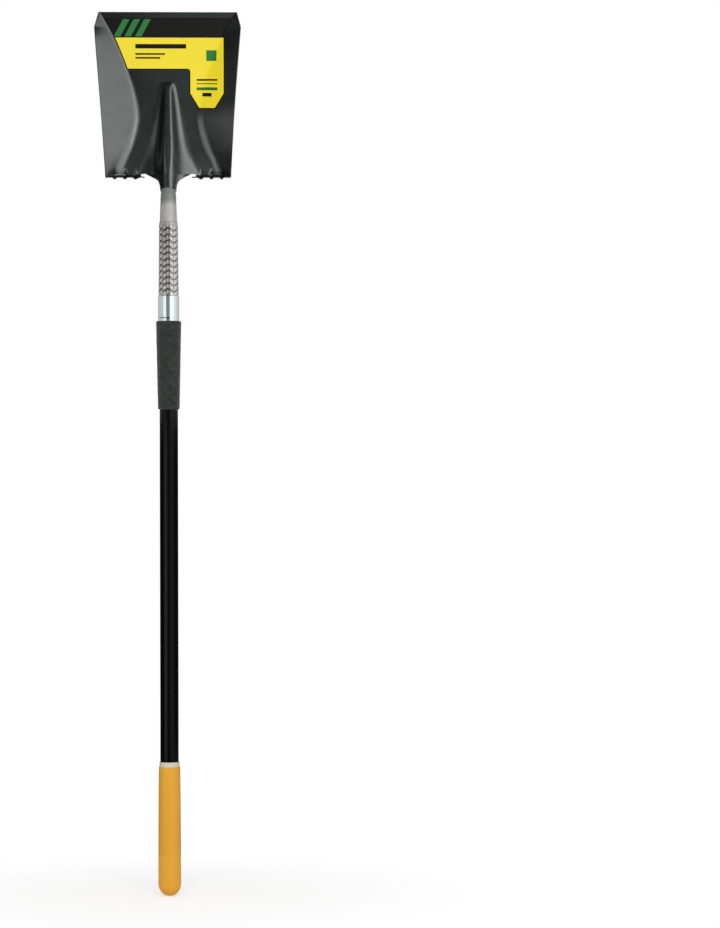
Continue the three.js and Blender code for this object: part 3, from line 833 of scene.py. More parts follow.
    def upper_half(self) -> tuple[Array, Array]:
        """Places x and v of half the sheet above the shoulder, from the mouth down.

        Columns follow the frog's foot, the floor, the fold and the wing, and towards the shoulder they
        pass into the even columns of relief gap and tread.
        """
        tip = np.linspace(0, 1, self.tip_rows) ** self.tip_row_power
        v = np.concatenate([
            np.linspace(self.length, self.widest, self.mouth_rows, endpoint=False),
            np.linspace(self.widest, self.frog_length, self.panel_rows, endpoint=False),
            lerp(self.frog_length, self.relief_height, tip),
        ])[:, None]
        edge, foot = self.half_width(v), self.frog_half(v)
        fold, half = self.fold_out(v), self.fold_half(v)
        fold_start = np.maximum(fold - half, foot + self.thickness / 2)
        fold_end = np.minimum(fold + half, edge - self.thickness / 2)
        frog = foot * np.linspace(0, 1, self.frog_columns + 1)
        inner = lerp(foot, fold_start, np.arange(1, self.floor_columns) / self.floor_columns)
        folded = lerp(fold_start, fold_end, np.arange(self.fold_columns) / self.fold_columns)
        wing = lerp(fold_end, edge, np.arange(self.wing_columns) / (self.wing_columns - 1))
        settled = np.concatenate([inner, folded, wing], axis=1)
        gap = steps(self.relief_columns)
        tread_count = settled.shape[1] - self.relief_columns
        tread = steps(tread_count)
        even = np.concatenate([
            lerp(self.frog_foot_width / 2, self.tread_root, gap),
            lerp(self.tread_root, self.shoulder_width / 2, tread),
        ])
        share = smoothstep(v, 2 * self.relief_height, 2 * self.shoulder_fold_width)
        outer = lerp(even * edge / (self.shoulder_width / 2), settled, share)
        x = np.concatenate([frog, outer], axis=1)
        column = np.arange(x.shape[1]) - self.frog_columns
        dip = np.clip(column / self.relief_columns, 0, 1) ** 2
        near = np.clip(2 - v / self.relief_height, 0, 1) ** 2
        return x, v - (v - self.bend_start) * dip * near

    def neck(self, shoulder: Array) -> Array:
        """Neck's half: each column runs from the shoulder into a tube that is open along its back.

        The way from the shoulder's section to the tube's circle goes with 1 - (1 - down)^power, and the
        rim is arched in front by the squared cosine of the angle.
        """
        down = steps(self.neck_rows)[:, None, None]
        seam = self.neck_seam / self.neck_radius / 2
        angle = (math.pi - seam) * np.arange(self.frog_columns + 1) / self.frog_columns
        rise = self.neck_rim_arch * np.maximum(np.cos(angle), 0) ** 2
        ring = self.neck_radius * np.stack([np.sin(angle), -np.cos(angle), 0 * angle], axis=-1)
        tops = shoulder[: self.frog_columns + 1]
        points = lerp(ring, tops, (1 - down) ** self.neck_flare_power)
        points[..., 2] = lerp(tops[:, 2], rise - self.neck_length, down[..., 0])
        return points

    def tread(self, x: Array) -> Array:
        """Tread's half: a quarter bend forward, then flat, with ribs pressed down and gussets behind.

        In the bend a point is at the bend's radius plus the gusset's depth from its centre line. On the
        flat, a rib is a squared cosine across and reaches its depth half way out.
        """
        half_sheet = self.thickness / 2
        start = self.height(x, np.array(self.bend_start)) - self.floor_setback
        turn = np.linspace(0, math.pi / 2, self.bend_rows + 1)[1:, None]
        dent = self.gusset(x, 0.0)
        radius = self.tread_bend + dent
        centre = start + self.tread_bend
        bend = self.place(x, self.bend_start - radius * np.sin(turn), centre - radius * np.cos(turn))
        out = steps(self.neck_rows - self.bend_rows)[:, None]
        front = np.maximum(self.tread_depth - self.floor_setback, centre + half_sheet)
        spur = self.tread_spur * np.clip(1 - (x - self.tread_root) / self.rib_setback, 0, 1) * out
        cut = self.tread_corner_cut * out**2 * smoothstep(x, x[-1] - self.tread_corner_run, x[-1])
        ribs = sum(hump((x - middle) / (self.rib_width / 2)) for middle in self.rib_middles())
        pressed = lerp(dent, self.rib_height * ribs, np.minimum(2 * out, 1))
        flat = self.place(x - spur - cut, half_sheet - pressed, lerp(centre, front, out))
        return np.concatenate([bend, flat])

    def build(self) -> None:
        """Makes the sheet from its mirrored half, and gives it its wall and rounded edges."""
        x, v = self.upper_half()
        pressed = self.floor_setback + self.gusset(x, v - self.bend_start)
        upper = self.place(x, v, self.height(x, v) - pressed)
        tread_x = x[-1, self.frog_columns + 1 :]
        lower = np.concatenate([self.neck(upper[-1]), self.tread(tread_x)], axis=1)
        half = np.concatenate([upper, lower])
        points = np.concatenate([half[:, :0:-1] * np.array([-1, 1, 1]), half], axis=1)
        rows, columns = points.shape[0] - 1, points.shape[1] - 1
        middle = (columns + 1) // 2
        out = np.abs(np.arange(columns) + 0.5 - middle).astype(int)
        treads = out >= self.frog_columns + self.relief_columns
        cells = np.ones((rows, columns), dtype=bool)
        cells[len(upper) - 1 :] = (out < self.frog_columns) | treads
        piece = add_surface("pressed_blade", points, cells=cells)
        wall = piece.modifiers.new("sheet", "SOLIDIFY")
        wall.thickness = self.thickness
        wall.offset = 0
        wall.use_even_offset = True
        edge = piece.modifiers.new("edges", "BEVEL")
        edge.width = self.edge_round
        edge.segments = self.edge_segments
        edge.limit_method = "ANGLE"
        edge.angle_limit = self.edge_angle
        edge.harden_normals = True
        settle(piece, BLADE_COAT, Node.BLADE)


@dataclass
class Sticker:
    """Printed film on the blade's hollow side: a band, a panel and a tab with cut corners."""

    blade: Blade
    thickness: float = 0.0002
    gap: float = 0.0001
    setback: float = 0.010
    frog_gap: float = 0.021
    tab_height: float = 0.066
    tab_width: float = 0.061
    tab_inset: float = 0.036
    chamfer_height: float = 0.026
    chamfer_run: float = 0.016
    margin: float = 0.002
    inner_corner: float = 0.003
    panel_rows: int = 60
    tab_rows: int = 48
    corner_rows: int = 6
    panel_columns: int = 70
    tab_columns: int = 46
    outline_points: int = 40
    fillet_points: int = 8

    @property
    def top(self) -> float:
        """Place up the blade of the film's upper edge."""
        return self.blade.length - self.setback

    @property
    def panel_end(self) -> float:
        """Place up the blade where the panel ends."""
        return self.blade.frog_length + self.frog_gap

    @property
    def tab_end(self) -> float:
        """Place up the blade where the tab ends."""
        return self.panel_end - self.tab_height

    def outline(self, v: Array) -> tuple[Array, Array, Array]:
        """Inner end, split and outer end of the film across, at each v.

        The inner end follows the left fold line. The split is the tab's inner edge, rounded where it
        meets the panel. The outer end follows the right fold line down to the tab's width, and both
        ends of the tab run in towards its foot.
        """
        run = self.chamfer_run * np.clip(1 - (v - self.tab_end) / self.chamfer_height, 0, 1)
        depth = np.clip(self.panel_end - v, 0, self.inner_corner)
        rest = self.inner_corner - depth
        fillet = self.inner_corner - np.sqrt(self.inner_corner**2 - rest**2)
        split = self.tab_inset - fillet + run
        side = self.tab_inset + self.tab_width
        fold = self.blade.fold_out(v) + self.margin
        outer = np.where(v > self.panel_end, np.maximum(fold, side), side - run)
        return self.margin - self.blade.fold_out(v), split, outer

    def edge_distance(self, x: Array, v: Array) -> Array:
        """How far each place is from the film's outline, by the nearest of its short straight pieces."""
        high = np.linspace(self.top, self.panel_end, self.outline_points)
        low = np.concatenate([
            np.linspace(self.panel_end, self.panel_end - self.inner_corner, self.fillet_points),
            [self.tab_end + self.chamfer_height, self.tab_end],
        ])
        inner, _, outer = self.outline(high)
        _, split, side = self.outline(low)
        corners = np.concatenate([
            np.stack([inner, high], axis=-1),
            np.stack([split, low], axis=-1),
            np.stack([side, low], axis=-1)[::-1],
            np.stack([outer, high], axis=-1)[::-1],
        ])
        start, end = corners[:-1], corners[1:]
        place = np.stack([x, v], axis=-1)[..., None, :]
        run = end - start
        length = np.maximum((run**2).sum(-1), MERGE**2)
        share = np.clip(((place - start) * run).sum(-1) / length, 0, 1)
        return np.linalg.norm(place - start - share[..., None] * run, axis=-1).min(-1)

    def build(self) -> None:
        """Makes the film on the blade's surface and gives it its thickness."""
        corner_end = self.panel_end - self.inner_corner
        v = np.concatenate([
            np.linspace(self.top, self.panel_end, self.panel_rows, endpoint=False),
            np.linspace(self.panel_end, corner_end, self.corner_rows, endpoint=False),
            np.linspace(corner_end, self.tab_end, self.tab_rows),
        ])[:, None]
        inner, split, outer = self.outline(v)
        panel = lerp(inner, split, np.arange(self.panel_columns) / self.panel_columns)
        tab = lerp(split, outer, np.arange(self.tab_columns + 1) / self.tab_columns)
        x = np.concatenate([panel, tab], axis=1)
        v = v + 0 * x
        clear = self.blade.thickness / 2 + self.gap + self.thickness / 2
        points = self.blade.surface(x, v, clear)
        cells = np.ones((v.shape[0] - 1, v.shape[1] - 1), dtype=bool)
        cells[self.panel_rows :, : self.panel_columns] = False
        marks = np.stack([x, v, self.edge_distance(x, v)], axis=-1)
        piece = add_surface("printed_sticker", points, cells=cells, marks=marks)
        film = piece.modifiers.new("film", "SOLIDIFY")
        film.thickness = self.thickness
        film.offset = 0
        piece.visible_glossy = False
        settle(piece, LABEL_FILM, Node.LABEL)


# Socket and handle


@dataclass
class WeldBead:
    """Weld bead between the blade's neck and the sleeve."""

    blade: Blade
    width: float = 0.0032
    height: float = 0.0016
    radius: float = 0.01225
    gap: float = 0.00025  # under the neck's rim, and over the sleeve's tapered part
    ripples: int = 34
    ripple_points: int = 8
    ripple_height: float = 0.00018
    drifts: tuple[tuple[float, int, float], ...] = ((0.00008, 5, 1.3), (0.00006, 11, 0.0))
    rows: int = 13

    def build(self) -> None:
        """Makes the bead: a half round with ripples, arched in front as the neck's rim is.

        A welder's unsteady hand adds slow waves: size, number round the bead, and phase of each.
        """
        angles = full_circle(self.ripples * self.ripple_points)
        section = np.radians(np.linspace(-90, 90, self.rows))
        ripple = self.ripple_height * np.cos(self.ripples * angles) * np.cos(section)[:, None]
        drift = sum(size * np.sin(count * angles + phase) for size, count, phase in self.drifts)
        rim = -self.blade.neck_length - self.gap
        profile = np.stack([
            self.radius + self.height * np.cos(section),
            rim + self.width / 2 * (np.sin(section) - 1),
        ], axis=-1)
        grid = revolve(profile, angles, ripple + drift)
        grid[..., 2] += self.blade.neck_rim_arch * np.maximum(np.cos(angles), 0) ** 2
        piece = add_surface("weld_bead_ripples", np.concatenate([grid, grid[:1]]), wraps=True)
        settle(piece, WELD_COAT, Node.WELD_BEAD)


@dataclass
class Sleeve:
    """Steel sleeve with its pressed grip pattern, and the core plug inside it."""

    bead: WeldBead
    wall: float = 0.0012
    spigot_radius: float = 0.012
    spigot_length: float = 0.020
    top_radius: float = 0.013
    smooth_radius: float = 0.0147
    pattern_radius: float = 0.0158
    skirt_radius: float = 0.01695
    step: float = 0.003
    smooth_length: float = 0.0477
    pattern_length: float = 0.123
    skirt_length: float = 0.056
    bend_reach: float = 0.0012  # to each side of a bend in the taper, which it rounds
    bend_samples: int = 9
    skirt_rows: int = 6
    pattern_rows: int = 196
    smooth_rows: int = 40
    step_rows: int = 8
    spigot_rows: int = 6
    sides: int = 216
    pattern_lead: float = 0.002  # of the close rows under the pattern
    pattern_fade: tuple[float, float] = (0.001, 0.004)  # out from the pattern's ends, and into it
    pad_columns: int = 10
    odd_columns: tuple[int, int] = (5, 8)  # first and last that slant against the rule
    first_groove: float = math.radians(-2)
    pad_pitch: float = 0.0104
    pad_slant: float = 0.55  # of a pitch, across one column
    pad_height: float = 0.0003
    groove_depth: float = 0.0006
    groove_mark: float = 0.75  # height from which nothing counts as groove

    @property
    def taper_top(self) -> float:
        """Height where the sleeve starts to widen, under the bead."""
        return -self.bead.blade.neck_length - self.bead.width - 2 * self.bead.gap

    @property
    def pattern_top(self) -> float:
        """Height of the pattern's upper end."""
        return self.taper_top - self.smooth_length - 2 * self.step

    @property
    def pattern_foot(self) -> float:
        """Height of the pattern's lower end, where the skirt starts."""
        return self.pattern_top - self.pattern_length

    def stations(self) -> Array:
        """Height and radius of the sleeve's outside where its taper changes, from the top down."""
        return np.array([
            [self.spigot_length, self.spigot_radius],
            [self.taper_top, self.spigot_radius],
            [self.taper_top - self.step, self.top_radius],
            [self.pattern_top + self.step, self.smooth_radius],
            [self.pattern_top, self.pattern_radius],
            [self.pattern_foot, self.skirt_radius],
            [self.pattern_foot - self.skirt_length, self.skirt_radius],
        ])

    def radius_at(self, z: Array | float) -> Array | float:
        """Sleeve's outer radius at a height, straight between its stations."""
        heights, radii = self.stations()[::-1].T
        return np.interp(z, heights, radii)

    def relief(self, angles: Array, z: Array) -> Array:
        """Height of the pressed pattern over the sleeve.

        Round the sleeve it is divided in columns by grooves. In a column, slanted pads repeat with the
        pitch: each is a round hill across, 1 - (2 c)^3, and along it is flat between narrow grooves,
        1 - (1/2 - 1/2 cos)^4. The slant turns round from one column to the next, but for two pairs.

        Args:
            angles: one angle for each column of the grid.
            z: heights, one row each.

        Returns:
            Rows by columns: 0 in a groove, 1 on a pad, and the level of the plain tube elsewhere.
        """
        column_angle = 2 * math.pi / self.pad_columns
        place = (angles - self.first_groove) % (2 * math.pi) / column_angle
        column = np.floor(place)
        across = place - column - 0.5
        first, last = self.odd_columns
        odd = (column + ((column >= first) & (column <= last))) % 2
        slant = np.where(odd == 0, 1, -1) * self.pad_slant
        phase = 2 * math.pi * (z / self.pad_pitch + slant * across)
        pad = (1 - np.abs(2 * across) ** 3) * (1 - (0.5 - 0.5 * np.cos(phase)) ** 4)
        out, into = self.pattern_fade
        fade = smoothstep(z, self.pattern_foot - out, self.pattern_foot + into)
        fade = fade * smoothstep(-z, -self.pattern_top, into - self.pattern_top)
        plain = self.groove_depth / (self.pad_height + self.groove_depth)
        return plain + fade * (pad - plain)

    def build(self) -> None:
        """Makes the sleeve, outside from the skirt up and plain inside down, and dresses the plug."""
        stations = self.stations()
        ends = [
            (stations[-1, 0], self.skirt_rows),
            (self.pattern_foot - self.pattern_lead, self.pattern_rows),
            (self.pattern_top, self.smooth_rows),
            (self.taper_top - self.step, self.step_rows),
            (self.taper_top, 0),
        ]
        runs = [np.linspace(a, b, rows, endpoint=False) for (a, rows), (b, _) in zip(ends, ends[1:])]
        spigot = np.linspace(self.taper_top, self.spigot_length, self.spigot_rows)
        heights = np.concatenate([*runs, spigot])
        spread = np.linspace(-self.bend_reach, self.bend_reach, self.bend_samples)
        soft = self.radius_at(heights[:, None] + spread).mean(axis=1)
        angles = full_circle(self.sides)
        outside = np.stack([soft, heights], axis=-1)
        inside = np.stack([self.radius_at(stations[:, 0]) - self.wall, stations[:, 0]], axis=-1)
        profile = np.concatenate([outside, inside, outside[:1]])
        relief = self.relief(angles, heights[:, None])
        tweak = np.zeros((len(profile), self.sides))
        tweak[: len(outside)] = relief * (self.pad_height + self.groove_depth) - self.groove_depth
        marks = np.ones((len(profile), self.sides, 3))
        # the first part of marks drives the painted shade in the grooves
        marks[: len(outside), :, 0] = smoothstep(relief, 0.0, self.groove_mark)
        piece = add_surface("pressed_sleeve", revolve(profile, angles, tweak), wraps=True, marks=marks)
        settle(piece, SLEEVE_COAT, Node.SLEEVE)
        dress_node(Node.CORE_PLUG, CORE_WOOD)


@dataclass
class Rivet:
    """Domed rivet at the back, whose head is drawn down onto the round wall under it."""

    name: str
    node: Node
    radius: float = 0.0048
    head: float = 0.0024
    rim: float = 0.0004
    undercut: float = 0.98  # share of the radius at the head's foot
    shank: float = 0.0024
    depth: float = 0.0075
    sink: float = 0.0008  # from the wall down to the shank's last points
    ring_radius: float = 0.0022
    ring_half: float = 0.0004
    ring_depth: float = 0.00012
    sides: int = 72
    rows: int = 22

    def build(self) -> None:
        """Makes the rivet where its CAD node is.

        The head's underside follows the wall, the square root of seat² - x². Its dome is an ellipse
        over a short upright rim, with a ring pressed in by the rivet set.
        """
        low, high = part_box(self.node.value)
        seat = high.y - self.head
        foot = seat - self.depth
        angles = full_circle(self.sides)
        t = np.linspace(0, math.pi / 2, self.rows)
        dome = np.stack([
            self.radius * np.cos(t),
            seat + self.rim + (self.head - self.rim) * np.sin(t),
        ], axis=-1)
        dome[:, 1] -= self.ring_depth * hump((dome[:, 0] - self.ring_radius) / self.ring_half)
        shank = [[0, foot], [self.shank, foot], [self.shank, seat - self.sink]]
        under = [[self.radius * self.undercut, seat], [self.radius, seat + self.rim / 2]]
        profile = np.concatenate([shank, under, dome])
        reach, out = profile[:, :1], profile[:, 1:] + 0 * angles
        x = reach * np.sin(angles)
        wall = np.sqrt(seat**2 - x**2) - seat
        down = np.zeros((len(profile), 1))
        down[len(shank) : len(shank) + len(under)] = 1.0
        z = (low.z + high.z) / 2 + reach * np.cos(angles)
        piece = add_surface(self.name, np.stack([x, out + down * wall, z], axis=-1), wraps=True)
        settle(piece, ZINC, self.node)


@dataclass
class Ferrule:
    """Bright tube over the sleeve's skirt, with a rolled lip, a rolled groove and a turned-in foot."""

    wall: float = 0.0008
    lip: float = 0.0008
    groove_depth: float = 0.0003
    groove_width: float = 0.003
    groove_setback: float = 0.023
    groove_rows: int = 25
    foot_round: float = 0.0002
    sides: int = 160

    def build(self) -> None:
        """Makes the ferrule from its closed section.

        A row of points next to each rounded edge keeps the shading of the straight wall even.
        """
        low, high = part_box(Node.FERRULE.value)
        radius = high.x
        middle = low.z + self.groove_setback
        heights = middle + np.linspace(-self.groove_width, self.groove_width, self.groove_rows)
        dip = self.groove_depth * hump((heights - middle) / (self.groove_width / 2))
        ease, bore = self.foot_round, radius - self.wall
        profile = np.concatenate([
            [[bore, low.z], [radius - ease, low.z], [radius, low.z + ease], [radius, low.z + 2 * ease]],
            np.stack([radius - dip, heights], axis=-1),
            [[radius, high.z - self.lip - ease]],
            quarter(radius - self.lip, high.z - self.lip, self.lip, 0, 90),
            [[bore, high.z - self.lip / 4], [bore, low.z]],
        ])
        piece = add_surface("rolled_ferrule", revolve(profile, full_circle(self.sides)), wraps=True)
        settle(piece, CHROME, Node.FERRULE)


@dataclass
class Shaft:
    """Hollow pultruded shaft with slightly eased ends, and the plug that closes its lower end."""

    wall: float = 0.0036
    ease: float = 0.0004
    sides: int = 144

    def build(self) -> None:
        """Makes the shaft and dresses its end plug."""
        low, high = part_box(Node.SHAFT.value)
        radius, bore = high.x, high.x - self.wall
        profile = np.concatenate([
            [[bore, low.z]],
            quarter(radius - self.ease, low.z + self.ease, self.ease, -90, 0),
            quarter(radius - self.ease, high.z - self.ease, self.ease, 0, 90),
            [[bore, high.z], [bore, low.z]],
        ])
        piece = add_surface("pultruded_shaft", revolve(profile, full_circle(self.sides)), wraps=True)
        settle(piece, SHAFT_RESIN, Node.SHAFT)
        dress_node(Node.END_PLUG, PLUG_PLASTIC)


@dataclass
class FoamGrip:
    """Foam sleeve that is thicker where it covers the ferrule, with soft corners and an uneven skin."""

    corner: float = 0.002
    gap: float = 0.00025
    top_radius: float = 0.0215
    bottom_radius: float = 0.01845
    unevenness: float = 0.00012
    sink: float = 0.6  # of the unevenness: how far the skin lies inside its plain form on average
    waves: tuple[tuple[int, float, float], ...] = ((3, 90, 0), (5, -210, 1), (2, 420, 2))
    rows: int = 110
    sides: int = 160

    def build(self) -> None:
        """Makes the foam from its closed section, its outside slightly uneven.

        The unevenness is the mean of slow waves: the number of each round the grip, how fast it turns
        along it in radians a metre, and its phase.
        """
        low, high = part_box(Node.FOAM_GRIP.value)
        ferrule_low, ferrule_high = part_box(Node.FERRULE.value)
        shaft_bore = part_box(Node.SHAFT.value)[1].x + self.gap
        ferrule_bore = ferrule_high.x + self.gap
        heights = np.linspace(low.z + self.corner, high.z - self.corner, self.rows)
        share = (heights - low.z) / (high.z - low.z)
        side = np.stack([lerp(self.bottom_radius, self.top_radius, share), heights], axis=-1)
        outside = np.concatenate([
            quarter(side[0, 0] - self.corner, low.z + self.corner, self.corner, -90, 0)[:-1],
            side,
            quarter(side[-1, 0] - self.corner, high.z - self.corner, self.corner, 0, 90)[1:],
        ])
        inside = np.array([
            [ferrule_bore, high.z],
            [ferrule_bore, ferrule_low.z - self.gap],
            [shaft_bore, ferrule_low.z - self.gap],
            [shaft_bore, low.z],
        ])
        profile = np.concatenate([outside, inside, outside[:1]])
        angles = full_circle(self.sides)
        z = outside[:, 1:]
        waves = sum(np.sin(count * angles + turn * z + phase) for count, turn, phase in self.waves)
        tweak = np.zeros((len(profile), self.sides))
        tweak[: len(outside)] = self.unevenness * (waves / len(self.waves) - self.sink)
        tweak[-1] = tweak[0]
        piece = add_surface("foam_sleeve", revolve(profile, angles, tweak), wraps=True)
        settle(piece, GRIP_FOAM, Node.FOAM_GRIP)


@dataclass
class EndGrip:
    """Dipped vinyl grip with a rounded end, and the cream ring that is tucked in its mouth."""

    bore_gap: float = 0.00015
    ring_wall: float = 0.00135
    ring_round: float = 0.0005
    mouth_wall: float = 0.0007
    swell_wall: float = 0.0037
    end_height: float = 0.022
    end_power: float = 2.2
    swell_power: float = 0.52
    tuck: float = 0.006
    end_rows: int = 40
    side_rows: int = 90
    sides: int = 144

    def build_ring(self) -> None:
        """Makes the ring from its closed section, with eased upper corners."""
        low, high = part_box(Node.GRIP_RING.value)
        radius, bore = high.x, high.x - self.ring_wall
        middle = radius - self.ring_round
        profile = np.concatenate([
            [[bore, low.z], [radius, low.z]],
            quarter(middle, high.z - self.ring_round, self.ring_round, 0, 90),
            [[bore, high.z], [bore, low.z]],
        ])
        piece = add_surface("cream_ring", revolve(profile, full_circle(self.sides)), wraps=True)
        settle(piece, RING_PLASTIC, Node.GRIP_RING)

    def build_grip(self) -> None:
        """Makes the grip: a superellipse end, a side that swells from the mouth, and its stepped bore."""
        low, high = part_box(Node.END_GRIP.value)
        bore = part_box(Node.SHAFT.value)[1].x + self.bore_gap
        plug_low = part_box(Node.END_PLUG.value)[0].z - self.bore_gap
        mouth_bore = bore + self.ring_wall + self.bore_gap
        mouth, swell = mouth_bore + self.mouth_wall, bore + self.swell_wall
        round_top = low.z + self.end_height
        out = np.sin(np.linspace(0, math.pi / 2, self.end_rows))
        drop = (1 - out**self.end_power) ** (1 / self.end_power)
        end = np.stack([swell * out, round_top - self.end_height * drop], axis=-1)
        t = np.linspace(0, 1, self.side_rows)[1:]
        bend = self.mouth_wall / 2
        side = np.stack([
            lerp(mouth, swell, (1 - t) ** self.swell_power),
            lerp(round_top, high.z - bend, t),
        ], axis=-1)
        counterbore = high.z - self.tuck - self.bore_gap
        profile = np.concatenate([
            end,
            side,
            quarter(mouth - bend, high.z - bend, bend, 0, 180),
            [[mouth_bore, counterbore], [bore, counterbore], [bore, plug_low], [0, plug_low]],
        ])
        piece = add_surface("dipped_grip", revolve(profile, full_circle(self.sides)), wraps=True)
        settle(piece, GRIP_VINYL, Node.END_GRIP)

    def build(self) -> None:
        """Makes the ring and the grip."""
        self.build_ring()
        self.build_grip()


# Studio


@dataclass(frozen=True)
class Lamp:
    """Soft box that faces the shovel, placed by its direction from the viewer's side."""

    name: str
    azimuth: float
    width: float
    height: float
    radiance: float
    distance: float
    middle: float
    aim: float

    def build(self) -> None:
        """Makes the lamp; its power is radiance times pi times its area. Gloss sees the cards instead."""
        data = bpy.data.lights.new(self.name, "AREA")
        data.shape = "RECTANGLE"
        data.size = self.width
        data.size_y = self.height
        data.energy = self.radiance * math.pi * self.width * self.height
        lamp = bpy.data.objects.new(self.name, data)
        angle = math.radians(self.azimuth)
        lamp.location = (self.distance * math.sin(angle), -self.distance * math.cos(angle), self.middle)
        to = Vector((0, 0, self.aim)) - lamp.location
        lamp.rotation_euler = to.to_track_quat("-Z", "Y").to_euler()
        lamp.visible_camera = False
        lamp.visible_glossy = False
        bpy.context.scene.collection.objects.link(lamp)


@dataclass(frozen=True)
class GlossCard:
    """Studio card that only gloss sees, as product photographers place them round shiny things.

    A card that shines less than what is behind it serves as a flag.
    """

    name: str
    glow: float
    tint: str = field(default="ffffff", kw_only=True)

    def corners(self) -> Array:
        """Grid of the card's points, rows by columns by 3."""
        raise NotImplementedError

    def build(self) -> None:
        """Makes the card with an even glow in its tint."""
        card = add_surface(self.name, self.corners())
        material = bpy.data.materials.new(self.name)
        graph = open_graph(material)
        light = graph.add("Emission", {"Color": linear(self.tint), "Strength": self.glow})
        graph.add("OutputMaterial", {"Surface": light["Emission"]})
        card.data.materials.append(material)
        card.visible_camera = False
        card.visible_diffuse = False
        card.visible_shadow = False
        card.visible_transmission = False


@dataclass(frozen=True)
class RoundCard(GlossCard):
    """Card bent round the shovel, from one height and one direction in degrees to another."""

    low: float
    high: float
    start: float
    stop: float
    distance: float = 3.2
    columns: int = 25

    def corners(self) -> Array:
        """Strip of a cylinder about the handle."""
        angles = np.radians(np.linspace(self.start, self.stop, self.columns))
        profile = np.array([[self.distance, self.low], [self.distance, self.high]])
        return revolve(profile, angles)


@dataclass(frozen=True)
class NearCard(RoundCard):
    """Bent card near the shovel, for the gloss at about its own height."""

    distance: float = 0.3


@dataclass(frozen=True)
class SideFlag(GlossCard):
    """Flat upright card beside the blade, which keeps that side's light out of its gloss."""

    low: float
    high: float
    side: float
    front: float
    back: float

    def corners(self) -> Array:
        """Rectangle at a fixed distance to the side."""
        y, z = np.meshgrid([self.front, self.back], [self.low, self.high])
        return np.stack([self.side + 0 * y, y, z], axis=-1)


@dataclass(frozen=True)
class LevelCard(GlossCard):
    """Flat level card just over the floor, or overhead."""

    level: float
    left: float
    right: float
    front: float
    back: float

    def corners(self) -> Array:
        """Level rectangle."""
        x, y = np.meshgrid([self.left, self.right], [self.front, self.back])
        return np.stack([x, y, self.level + 0 * x], axis=-1)


COOL = "ecfffc"  # tint of the cards in front


